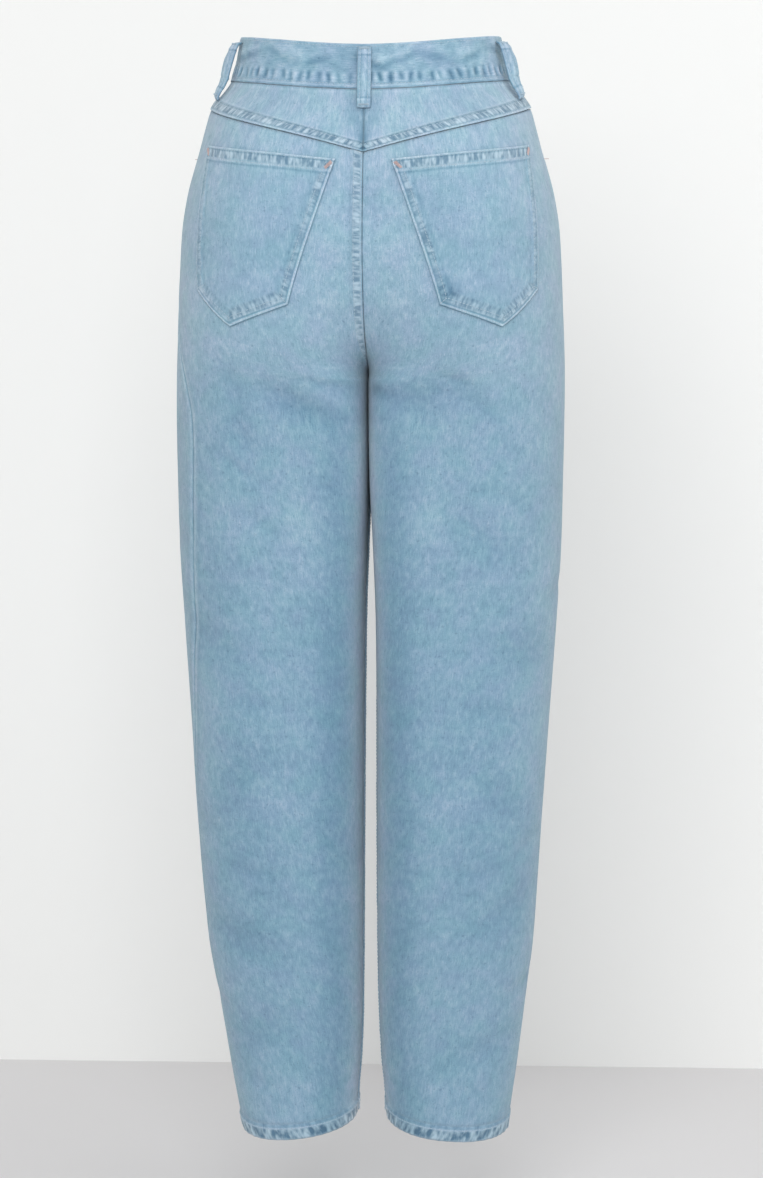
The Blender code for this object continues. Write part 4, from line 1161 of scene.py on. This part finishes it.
def pocket_grid(hand):
    """The grid of one back pocket."""
    corner = {name: np.array(at) * (POCKET_EASE[hand], 1) for name, at in POCKET.items()}
    span = corner["side_low"][0] - corner["low_inner"][0]
    tip = (corner["tip"][0] - corner["low_inner"][0]) / span
    edge = np.array([0.0, 0.4, 0.9, 1.5, 2.3, 3.2, 4.4]) / span
    middle = np.append(np.linspace(0.06, tip, 44), np.linspace(tip, 0.94, 30)[1:])
    share = np.concatenate([edge, middle, 1 - edge[::-1]])[None, :]
    height = corner["low_inner"][1] - corner["top_inner"][1]
    ends = np.array([0.0, 0.5, 1.2, 2.2, 3.4, 4.8, 6.4, 8.0, 9.4, 10.8, 11.6, 12.4, 13.2]) / height
    low_end = 1 - np.array([4.4, 3.2, 2.3, 1.5, 0.9, 0.4, 0.0]) / height
    down = np.concatenate([ends, np.linspace(0.12, 0.955, 74), low_end])[:, None]
    top = corner["top_inner"] * (1 - share[..., None]) + corner["top_outer"] * share[..., None]
    first = np.clip(share / tip, 0, 1)[..., None]
    second = np.clip((share - tip) / (1 - tip), 0, 1)[..., None]
    low = corner["low_inner"] * (1 - first) + corner["tip"] * first
    low = low + (corner["side_low"] - corner["tip"]) * second
    flat = top * (1 - down[..., None]) + low * down[..., None]
    x, y = flat[..., 0], flat[..., 1]
    around, drop = on_back(hand, x, y)
    base, normals = skin(hand, around, drop)
    from_top = edge_distance(x, y, corner["top_inner"], corner["top_outer"])
    others = [edge_distance(x, y, corner[start], corner[end]) for start, end in POCKET_SIDES]
    others = np.stack(others, axis=-1)
    nearest_edge = np.argmin(others, axis=-1)
    from_edge = np.min(others, axis=-1)
    run = np.zeros_like(x)
    walked = 0.0
    for k, (start, end) in enumerate(POCKET_SIDES):
        way = corner[end] - corner[start]
        along = ((flat - corner[start]) @ way) / np.hypot(*way)
        run = np.where(nearest_edge == k, walked + along, run)
        walked += np.hypot(*way)
    hem = step_up(from_top, POCKET_HEM - 1)
    turned = step_up(from_edge, 9.5) * (1 - hem)
    seed = 51 + hand
    lift = POCKET_SEAT + POCKET_WALL + POCKET_HEM_RISE * hem + 0.45 * turned
    lift = lift + hem * 0.25 * roping(x, from_top, 7.5, seed)
    lift = lift + turned * 0.22 * roping(run, from_edge, 6.5, seed + 1)
    nearest = np.minimum(from_edge, from_top)
    lift = lift - 0.5 * np.exp(-((nearest / 0.8) ** 2))
    lift = lift + 0.5 * mottle(x / 34, y / 40, seed + 2) * smooth((nearest - 8) / 20)
    inner_side = nearest_edge == 0
    low_side = (nearest_edge == 1) | (nearest_edge == 2)
    mark = 0.62 * between(from_edge, 4.0, 9.0) * inner_side
    mark = mark + 0.62 * between(from_edge, 5.4, 12.5, 2.5) * low_side
    mark = mark + 0.5 * between(from_edge, 3.6, 8.0) * (nearest_edge == 3)
    uneven = 0.75 + 0.35 * wobble(run / 26, seed + 3)
    in_hem = from_top < 12.0
    mark = np.where(in_hem, 0.72 * between(from_top, 2.8, 8.8), mark * uneven * smooth((from_top - 11) / 3))
    tone = wash_and_shade_tone(hand, around, drop) * 0.965
    # The patch's outermost half millimetre is painted dark as the shadow of its raised edge, and a rubbed
    # pale line lies just inside it.
    wear_and_shade = np.where(low_side | inner_side, 0.55, 0.26)
    tone = tone * lined(from_edge, (0, 0.5, -wear_and_shade), (1.5, 0.9, wear_and_shade), (3.2, 0.8, -0.30))
    tone = tone * lined(from_edge, (4.6, 0.8, 0.22 * low_side))
    tone = tone * lined(from_top, (0.6, 0.8, 0.30), (2.2, 0.7, -0.34))
    # Just below the hem a dark line is painted shadow under the hem's edge.
    tone = tone * lined(from_top, (10.8, 0.8, 0.34), (13.0, 0.9, -0.22))
    ring = beside(from_edge, 12.0, 1.8) * (1 - hem) * (1 + 0.8 * wobble(run / 5, seed + 3))
    tone = tone * (1 - 0.10 * ring)
    if hand < 0:
        away = np.hypot((x - corner["low_inner"][0] - 7) / 10, (y - corner["low_inner"][1] + 9) / 13)
        tone = tone * (1 - 0.30 * np.exp(-(away**2)) * (1 + 0.6 * mottle(x / 4, y / 6, 77)))
    return {
        "points": mirrored(hand, base + lift[..., None] * normals),
        "normals": normals * [hand, 1, 1],
        "u": x,
        "v": -y,
        "tone": tone,
        "mark": mark,
        "seam_along": np.where(in_hem, x, run + 400),
        "seam_in": np.where(in_hem, from_top, from_edge),
        "from_top": from_top,
        "from_edge": from_edge,
        "edges": others,
    }


for hand, side in SIDES.items():
    lay_cloth(f"back_pocket_cloth_{side}", f"back_pocket_{side}", pocket_grid(hand), POCKET_WALL)
print("Back pockets:", len(SIDES))

# %% [markdown]
# In front, a curved mouth is cut out of each panel, and a facing of the same denim closes it from
# below. The facing lies just under the panel, and the mouth's edge shows as a step.

# %% Front pocket facings
def facing_grid(hand):
    """The grid of one front pocket facing."""
    drops = np.linspace(BAND_SEAM + ROW_GAP, BAND_SEAM + SCOOP_DOWN + FACING_UNDER - 2, 40)[:, None]
    station = SEAM_GAP / 2 + (scoop(drops, FACING_UNDER) - SEAM_GAP / 2) * np.linspace(0, 1, 44)
    around = seam(hand, drops) - station
    drop = np.broadcast_to(drops, around.shape)
    base, normals = skin(hand, around, drop)
    tone = wash_and_shade_tone(hand, around, drop) * 0.94
    return {
        "points": mirrored(hand, base - FACING_SUNK * normals),
        "normals": normals * [hand, 1, 1],
        "u": around,
        "v": -drop,
        "tone": tone,
        "seam_along": around,
        "seam_in": station,
    }


for hand, side in SIDES.items():
    lay_cloth(f"pocket_facing_cloth_{side}", f"pocket_facing_{side}", facing_grid(hand), FACING_WALL)
print("Pocket facings:", len(SIDES))

# %% [markdown]
# A belt loop is a strip folded in three and cover-stitched, so it has a soft ridge down its
# middle. Its ends are turned under and tacked. The side loops stand well off the band, as they do
# in wear, and the others lie nearly flat.

# %% Belt loops
def level_drop(hand, face, share, below):
    """The drop of the row that lies this far below the band's top edge."""
    top = on_form(hand, around_at(hand, face, share, 0.0), 0.0)[..., 2]
    low, high = np.zeros(np.shape(below)), np.full(np.shape(below), CROTCH)
    for _ in range(24):
        middle = (low + high) / 2
        here = on_form(hand, around_at(hand, face, share, middle), middle)[..., 2]
        low, high = np.where(top - here < below, middle, low), np.where(top - here < below, high, middle)
    return (low + high) / 2


def loop_grid(hand, face, share, top, gap, turn):
    """The grid of one belt loop's outer face."""
    length = BAND_SEAM + LOOP_BELOW_BAND - top
    k = np.linspace(0, 1, 70)
    drop = level_drop(hand, face, share, top + k * length)[:, None]
    aside = LOOP_WIDTH / 2 * np.linspace(-1, 1, 19)[None, :]
    shares = share + aside / panel_length(hand, face, drop)
    over = shares > 1
    around = around_at(hand, face, np.where(over, 2 - shares, shares), drop)
    points, normals = skin(hand, around, np.broadcast_to(drop, around.shape))
    crossed = np.where(over[..., None], [-1, 1, 1], [1, 1, 1])
    points, normals = points * crossed, normals * crossed
    on_band = 1 - smooth((drop - BAND_SEAM + 2) / 4)
    base = LOOP_SEAT + BAND_PROUD * on_band
    if face == "back":
        base = base + FELL_RISE * smooth((drop - BAND_SEAM) / 2)
    bulge = (gap - turn * aside) * np.sin(math.pi * k**LOOP_SKEW)[:, None].clip(0) ** 0.6
    edge = np.abs(aside) / (LOOP_WIDTH / 2)
    profile = 0.35 * np.exp(-((aside / 1.3) ** 2)) - 0.9 * edge**6
    profile = profile - 0.3 * np.exp(-(((np.abs(aside) - 3.6) / 0.7) ** 2))
    ends = np.minimum(k, 1 - k)[:, None] * length
    turned = 0.6 * step_up(ends, 7, 2) - 0.9 * np.exp(-((ends / 0.8) ** 2))
    lift = base + bulge + LOOP_WALL + profile + turned + 0.2 * mottle(aside / 3, k[:, None] * 9, 61)
    along = np.broadcast_to(k[:, None] * length, around.shape)
    tone = wash_and_shade_tone(hand, around, drop) * (1.06 + 0.10 * np.exp(-((aside / 1.5) ** 2)))
    # The loop's long edges, where they roll down, and the cloth just past its turned-under ends are painted
    # darker as shade.
    tone = tone * lined(np.abs(aside), (2.9, 0.7, -0.16)) * (1 - 0.26 * edge**8)
    tone = tone * lined(ends, (8.4, 0.8, -0.28), (6.4, 0.9, 0.14))
    return {
        "points": (points + lift[..., None] * normals) * [hand, 1, 1],
        "normals": normals * [hand, 1, 1],
        "u": np.broadcast_to(aside, around.shape),
        "v": -along,
        "tone": tone * (1 + 0.06 * mottle(aside / 2.5, along / 3, 63)),
        "seam_along": along,
        "seam_in": along,
        "aside": np.broadcast_to(aside, around.shape),
    }


for name, place in LOOPS.items():
    lay_cloth(f"{name}_cloth", name, loop_grid(*place), LOOP_CLOTH)
print("Belt loops:", len(LOOPS))

# %% [markdown]
# The waist button is a tack button: a rolled brass cap on a short shank. Its profile is spun
# round its axis, which gives the rolled rim and dished face with few points.

# %% Waist button
BUTTON_PROFILE = (
    (0.0, 0.0),
    (4.6, 0.0),
    (4.8, 0.9),
    (7.6, 1.0),
    (8.3, 1.4),
    (8.5, 2.0),
    (8.1, 2.6),
    (7.2, 2.8),
    (6.3, 2.5),
    (5.6, 2.1),
    (3.0, 2.4),
    (0.0, 2.5),
)


def make_button():
    """The tack button on the closed waistband."""
    around = -half_length(1, "front", HOLD_DROP)
    point, normal = skin(1, around, HOLD_DROP)
    point[0], normal[0] = 0.0, 0.0
    normal /= np.linalg.norm(normal)
    shape = bmesh.new()
    verts = [shape.verts.new((radius * MM, 0, height * MM)) for radius, height in BUTTON_PROFILE]
    edges = [shape.edges.new(pair) for pair in zip(verts, verts[1:])]
    spin = {"cent": (0, 0, 0), "axis": (0, 0, 1), "angle": 2 * math.pi, "steps": 64}
    bmesh.ops.spin(shape, geom=verts + edges, use_merge=True, **spin)
    bmesh.ops.remove_doubles(shape, verts=shape.verts, dist=0.01 * MM)
    turn = Vector((0, 0, 1)).rotation_difference(Vector(normal))
    seat = Vector((point + (BAND_PROUD + 0.3) * normal) * MM)
    for vert in shape.verts:
        vert.co = turn @ vert.co + seat
    bmesh.ops.recalc_face_normals(shape, faces=shape.faces)
    mesh = bpy.data.meshes.new("brass_button")
    shape.to_mesh(mesh)
    shape.free()
    mesh.materials.append(BRASS)
    mesh.shade_smooth()
    piece = bpy.data.objects.new("brass_button", mesh)
    bpy.context.scene.collection.objects.link(piece)
    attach(piece, "root")
    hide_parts("waist_button")


make_button()
print("Button profile:", len(BUTTON_PROFILE), "points")

# %% [markdown]
# Every seam is sewn. A line of sewing is found on a piece of cloth where one of its distances has
# a set value, such as 1.6 mm from the edge. Stitches are then set along that line at the real
# length, each a small arched strand that dips into the cloth at its ends. All the stitches of one
# thread are joined into one mesh, because thousands of objects would be slow and no more real.

# %% Sewing
STITCH_PITCH = 3.3
STITCH_LENGTH = 2.7
STITCH_SINK = 0.05
HEM_SEWN = 10.3
POCKET_TOP_SEWN, POCKET_SEWN = (1.8, 10.6), (1.6, 7.6)
BAND_SEWN = (2.6, 36.6)
THREAD_RADIUS = 0.30
STRAND_SIDES = 5
STRAND_RINGS = (  # share of the length, share of the radius, rise
    (0, 0.35, -0.25),
    (0.12, 0.9, 0.10),
    (0.5, 1.0, 0.20),
    (0.88, 0.9, 0.10),
    (1, 0.35, -0.25),
)
STRANDS = {"pale": [], "tack": []}


def contour(grid, field, value, axis=0):
    """Points and normals where a field has a value, one for each column (axis 0) or row (axis 1)."""
    points, normals = grid["points"], grid["normals"]
    if axis == 1:
        field, points, normals = field.T, points.transpose(1, 0, 2), normals.transpose(1, 0, 2)
    level = field - value
    line, away = [], []
    for j in range(field.shape[1]):
        change = np.flatnonzero(level[:-1, j] * level[1:, j] <= 0)
        if len(change):
            i = change[0]
            t = level[i, j] / (level[i, j] - level[i + 1, j] + 1e-9)
            line.append(points[i, j] * (1 - t) + points[i + 1, j] * t)
            away.append(normals[i, j] * (1 - t) + normals[i + 1, j] * t)
    return np.array(line), np.array(away)


def sew(line, away):
    """Sets stitches along a line of points."""
    run = np.append(0, np.cumsum(np.linalg.norm(np.diff(line, axis=0), axis=1)))
    starts = np.arange(0.6, run[-1] - STITCH_LENGTH, STITCH_PITCH)

    def at(values, distance):
        return np.column_stack([np.interp(distance, run, values[:, k]) for k in range(3)])

    first, last = at(line, starts), at(line, starts + STITCH_LENGTH)
    up = at(away, starts + STITCH_LENGTH / 2)
    up /= np.linalg.norm(up, axis=1, keepdims=True)
    STRANDS["pale"].append((first - STITCH_SINK * up, last - STITCH_SINK * up, up))


def fill_strands(name, thread, material):
    """One mesh of all the stitches of a thread."""
    first, last, up = (np.vstack(parts) for parts in zip(*STRANDS[thread]))
    forward = last - first
    aside = np.cross(up, forward)
    aside /= np.linalg.norm(aside, axis=1, keepdims=True)
    rings = []
    sides, levels = STRAND_SIDES, len(STRAND_RINGS)
    for share, swell, arch in STRAND_RINGS:
        for k in range(sides):
            angle = 2 * math.pi * k / sides
            radius = THREAD_RADIUS * swell
            ring = first + share * forward + arch * up
            rings.append(ring + radius * (math.cos(angle) * aside + math.sin(angle) * up))
    points = np.stack(rings, axis=1).reshape(-1, 3) * MM
    faces = []
    for i in range(levels - 1):
        for k in range(sides):
            low, next_k = i * sides, (k + 1) % sides
            faces.append((low + k, low + next_k, low + sides + next_k, low + sides + k))
    count = len(first)
    offsets = np.arange(count)[:, None, None] * levels * sides
    every = (np.array(faces)[None] + offsets).reshape(-1, 4)
    caps = np.array([range(sides)[::-1], range((levels - 1) * sides, levels * sides)])
    ends = (caps[None] + offsets).reshape(-1, sides)
    mesh = bpy.data.meshes.new(name)
    mesh.from_pydata(points.tolist(), [], every.tolist() + ends.tolist())
    mesh.materials.append(material)
    mesh.shade_smooth()
    piece = bpy.data.objects.new(name, mesh)
    bpy.context.scene.collection.objects.link(piece)
    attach(piece, "root")
    print(name, count, "stitches")


# %% [markdown]
# The rows of sewing, piece by piece. Felled seams and pocket edges have two rows, the hems one,
# and the waistband one near each edge.

# %% Rows of sewing
SEWN = (1.7, 7.9)

for side in SIDES.values():
    back = PIECES[f"back_panel_cloth_{side}"]
    front = PIECES[f"front_panel_cloth_{side}"]
    yoke = PIECES[f"yoke_cloth_{side}"]
    pocket = PIECES[f"back_pocket_cloth_{side}"]
    for panel in (back, front):
        sew(*contour(panel, panel["from_hem"], HEM_SEWN))
    for inset in SEWN:
        line, away = contour(front, front["from_inner"], inset, axis=1)
        below = line[:, 2] < HOLD_DROP - CROTCH - 22
        sew(line[below], away[below])
        sew(*contour(yoke, yoke["ups"], inset))
    for inset in POCKET_TOP_SEWN:
        sew(*contour(pocket, pocket["from_top"], inset))
    for inset in POCKET_SEWN:
        for k, axis in ((0, 1), (1, 0), (2, 0), (3, 1)):
            edge = pocket["edges"][..., k]
            field = np.where(edge <= pocket["from_edge"] + 0.6, edge, 99)
            line, away = contour(pocket, field, inset, axis=axis)
            if len(line) > 4:
                steps = np.linalg.norm(np.diff(line, axis=0), axis=1)
                keep = np.append(True, steps < 12)
                sew(line[keep], away[keep])

back = PIECES["back_panel_cloth_left"]
for inset in SEWN:
    line, away = contour(back, back["from_inner"], inset, axis=1)
    above = line[:, 2] > HOLD_DROP - CROTCH + 14
    sew(line[above], away[above])
band = PIECES["waistband_cloth"]
for drop in BAND_SEWN:
    sew(*contour(band, band["drop"], drop))
for name in LOOPS:
    loop = PIECES[f"{name}_cloth"]
    for aside in (-3.6, 3.6):
        sew(*contour(loop, loop["aside"], aside, axis=1))

# %% [markdown]
# The front isn't in the photo, so it gets only the sewing that such jeans must have: the fly's
# J-shaped double row on the left half, two rows beside each pocket mouth, and the seam down to
# the crotch. These lines cross the panel freely, so they are found on the form itself.

# %% Sewing on the front
FLY_WIDTH = 36.0
FLY_STRAIGHT = 176.0
FLY_END = 214.0


def on_front(hand, from_centre, drop):
    """Points and normals of the front, by the distance from its inner seam."""
    around = from_centre - half_length(hand, "front", drop)
    points, normals = skin(hand, around, drop, 0.12)
    return mirrored(hand, points), normals * [hand, 1, 1]


for inset in (0.0, 6.2):
    wide = FLY_WIDTH - inset
    bend = np.linspace(0, math.pi / 2, 20)
    down = np.linspace(BAND_SEAM + 1, FLY_STRAIGHT, 60)
    from_centre = np.append(np.full(60, wide), wide * np.cos(bend) + 2 * np.sin(bend))
    drop = np.append(down, FLY_STRAIGHT + (FLY_END - inset - FLY_STRAIGHT) * np.sin(bend))
    sew(*on_front(1, from_centre, drop))
for inset in SEWN:
    drop = np.linspace(FLY_END + 4, CROTCH - 6, 40)
    sew(*on_front(1, np.full(40, inset), drop))
    for hand in SIDES:
        bend = np.linspace(0.02, math.pi / 2 - 0.03, 50)
        drop = BAND_SEAM + (SCOOP_DOWN + inset) * np.sin(bend)
        around = seam(hand, drop) - (SCOOP_ACROSS + inset) * np.cos(bend)
        points, normals = skin(hand, around, drop, 0.12)
        sew(mirrored(hand, points), normals * [hand, 1, 1])

# %% [markdown]
# Bar tacks lock the corners. Each is a short row of close cross stitches, set at the pocket
# corners, at both ends of each loop, at the fly and at the lower end of each pocket mouth. The
# buttonhole is two such rows, side by side, that run out from under the button.

# %% Bar tacks
TACK_STEP = 0.6
LEVEL, UPRIGHT = np.array([1.0, 0.0, 0.0]), np.array([0.0, 0.0, 1.0])


def bar_tack(centre, direction, up, length=8.0, width=2.2, thread="tack"):
    """Close cross stitches along a short line."""
    direction = direction / np.linalg.norm(direction)
    up = up / np.linalg.norm(up)
    aside = np.cross(up, direction)
    steps = np.arange(-length / 2, length / 2, TACK_STEP)[:, None]
    middle = centre + steps * direction + 0.15 * up
    ups = np.repeat(up[None], len(steps), axis=0)
    lean = 0.12 * width * direction
    first, last = middle - width / 2 * aside - lean, middle + width / 2 * aside + lean
    STRANDS[thread].append((first, last, ups))


for side in SIDES.values():
    pocket = PIECES[f"back_pocket_cloth_{side}"]
    points, normals = pocket["points"], pocket["normals"]
    for j, k in ((5, 9), (-6, -10)):
        slant = points[10, k] - points[2, j]
        bar_tack((points[3, j] + points[8, j]) / 2, slant, normals[5, j], 8.0, 3.2)
for name in LOOPS:
    loop = PIECES[f"{name}_cloth"]
    for i in (3, -4):
        across = loop["points"][i, -1] - loop["points"][i, 0]
        bar_tack(loop["points"][i, 9], across, loop["normals"][i, 9], 8.5, 1.6, "pale")
tack_drops = np.array([FLY_END - 6, FLY_END - 6, FLY_STRAIGHT - 4])
line, away = on_front(1, np.array([3.0, 9.0, FLY_WIDTH - 6]), tack_drops)
bar_tack(line[0], line[1] - line[0], away[0], 7.0, 2.6)
bar_tack(line[2], UPRIGHT, away[2], 7.0, 2.6)
for hand in SIDES:
    drop = BAND_SEAM + SCOOP_DOWN + 5
    point, up = skin(hand, seam(hand, drop) - 5.0, drop, 0.15)
    bar_tack(point * [hand, 1, 1], LEVEL, up * [hand, 1, 1], 7.0, 2.6)
for drop in (HOLD_DROP - 1.3, HOLD_DROP + 1.3):
    point, up = on_front(1, np.array(3.0), np.array(drop))
    bar_tack(point + (BAND_PROUD + 0.5) * up, LEVEL, up, 18.0, 1.8, "pale")
fill_strands("pale_blue_sewing", "pale", THREAD)
fill_strands("apricot_bar_tacks", "tack", TACK_THREAD)

# %% [markdown]
# A worn panel is held stretched in its form, with a few percent of ease in its folds.

# %% [markdown]
# The stage is a pale studio: a matt floor a hand's width below the hems, and a light wall
# close behind. Neither belongs to the jeans. The wall's rear face is clear, as a film set's wall
# is taken away when the camera goes behind it, so the jeans can be seen from every side.

# %% Floor and wall
FLOOR = -1.062
WALL = -0.72


def make_stage(name, corners, colour, patch_scale):
    """A flat plane with a faint unevenness, clear from the rear."""
    material, tree, shader = new_material(name)
    place = add_node(tree, "ShaderNodeTexCoord").outputs["Object"]
    patches = noise(tree, place, patch_scale, 2.0)
    base = linear(colour)
    dim = tuple(0.985 * c for c in base[:3]) + (1.0,)
    tree.links.new(mix_colour(tree, patches, dim, base), shader.inputs["Base Color"])
    shader.inputs["Roughness"].default_value = 0.95
    shader.inputs["Specular IOR Level"].default_value = 0.1
    rear = add_node(tree, "ShaderNodeNewGeometry").outputs["Backfacing"]
    clear = add_node(tree, "ShaderNodeBsdfTransparent").outputs["BSDF"]
    mixed = add_node(tree, "ShaderNodeMixShader", links={0: rear, 1: shader.outputs["BSDF"], 2: clear})
    tree.links.new(mixed.outputs[0], tree.nodes["Material Output"].inputs["Surface"])
    shape = bmesh.new()
    shape.faces.new([shape.verts.new(corner) for corner in corners])
    mesh = bpy.data.meshes.new(name)
    shape.to_mesh(mesh)
    shape.free()
    mesh.materials.append(material)
    plane = bpy.data.objects.new(name, mesh)
    bpy.context.scene.collection.objects.link(plane)


REACH, REAR, WALL_TOP = 4.0, 5.0, 3.0
make_stage(
    "studio_floor",
    ((-REACH, -REACH, FLOOR), (REACH, -REACH, FLOOR), (REACH, REAR, FLOOR), (-REACH, REAR, FLOOR)),
    "#E0DEDE",
    3.0,
)
make_stage(
    "studio_wall",
    ((REACH, WALL, FLOOR), (-REACH, WALL, FLOOR), (-REACH, WALL, WALL_TOP), (REACH, WALL, WALL_TOP)),
    "#F4F4F2",
    2.0,
)

# %% [markdown]
# A product photographer lights cloth with large soft boxes: one high behind the camera, one on
# each side to show the folds, and a bright room that fills the shadows.

# %% Light
def soft_box(name, place, aim, size, power):
    """A large area light."""
    lamp = bpy.data.lights.new(name, "AREA")
    lamp.shape, lamp.size, lamp.energy = "SQUARE", size, power
    made = bpy.data.objects.new(name, lamp)
    made.location = place
    made.rotation_euler = (Vector(aim) - Vector(place)).to_track_quat("-Z", "Y").to_euler()
    bpy.context.scene.collection.objects.link(made)


soft_box("key_box", (0.1, 3.4, 0.9), (0, 0, -0.45), 1.8, 60)
soft_box("left_box", (2.6, 1.0, 0.2), (0, 0, -0.5), 1.8, 9)
soft_box("right_box", (-2.6, 1.0, 0.2), (0, 0, -0.5), 1.8, 15)
soft_box("wall_box", (-0.8, 0.9, 2.0), (-0.5, WALL, -0.8), 2.0, 15)
world = bpy.data.worlds.new("bright_room")
world.use_nodes = True
world.node_tree.nodes["Background"].inputs["Color"].default_value = (0.97, 0.985, 1.0, 1)
world.node_tree.nodes["Background"].inputs["Strength"].default_value = 0.46
bpy.context.scene.world = world
bpy.context.scene.view_settings.view_transform = "Standard"

# %% [markdown]
# The camera stands 3.5 m away, turned a few degrees from straight behind towards the right leg, at
# hip height and tilted down a little, with a long lens.

# %% Camera
AZIMUTH = 183.5
DISTANCE = 3.5
CAMERA_HEIGHT = -0.216
LOOK_HEIGHT = -0.479
LOOK_ASIDE = 0.0095

turn = math.radians(AZIMUTH)
look = Vector((math.cos(turn) * LOOK_ASIDE, math.sin(turn) * LOOK_ASIDE, LOOK_HEIGHT))
lens = bpy.data.cameras.new("camera")
lens.lens, lens.sensor_width, lens.clip_start = 117.6, 36, 0.01
camera = bpy.data.objects.new("camera", lens)
camera.location = look + Vector((math.sin(turn), -math.cos(turn), 0)) * DISTANCE
camera.location.z = CAMERA_HEIGHT
camera.rotation_euler = (look - camera.location).to_track_quat("-Z", "Y").to_euler()
bpy.context.scene.collection.objects.link(camera)
bpy.context.scene.camera = camera
print("Camera:", [round(value, 3) for value in camera.location])
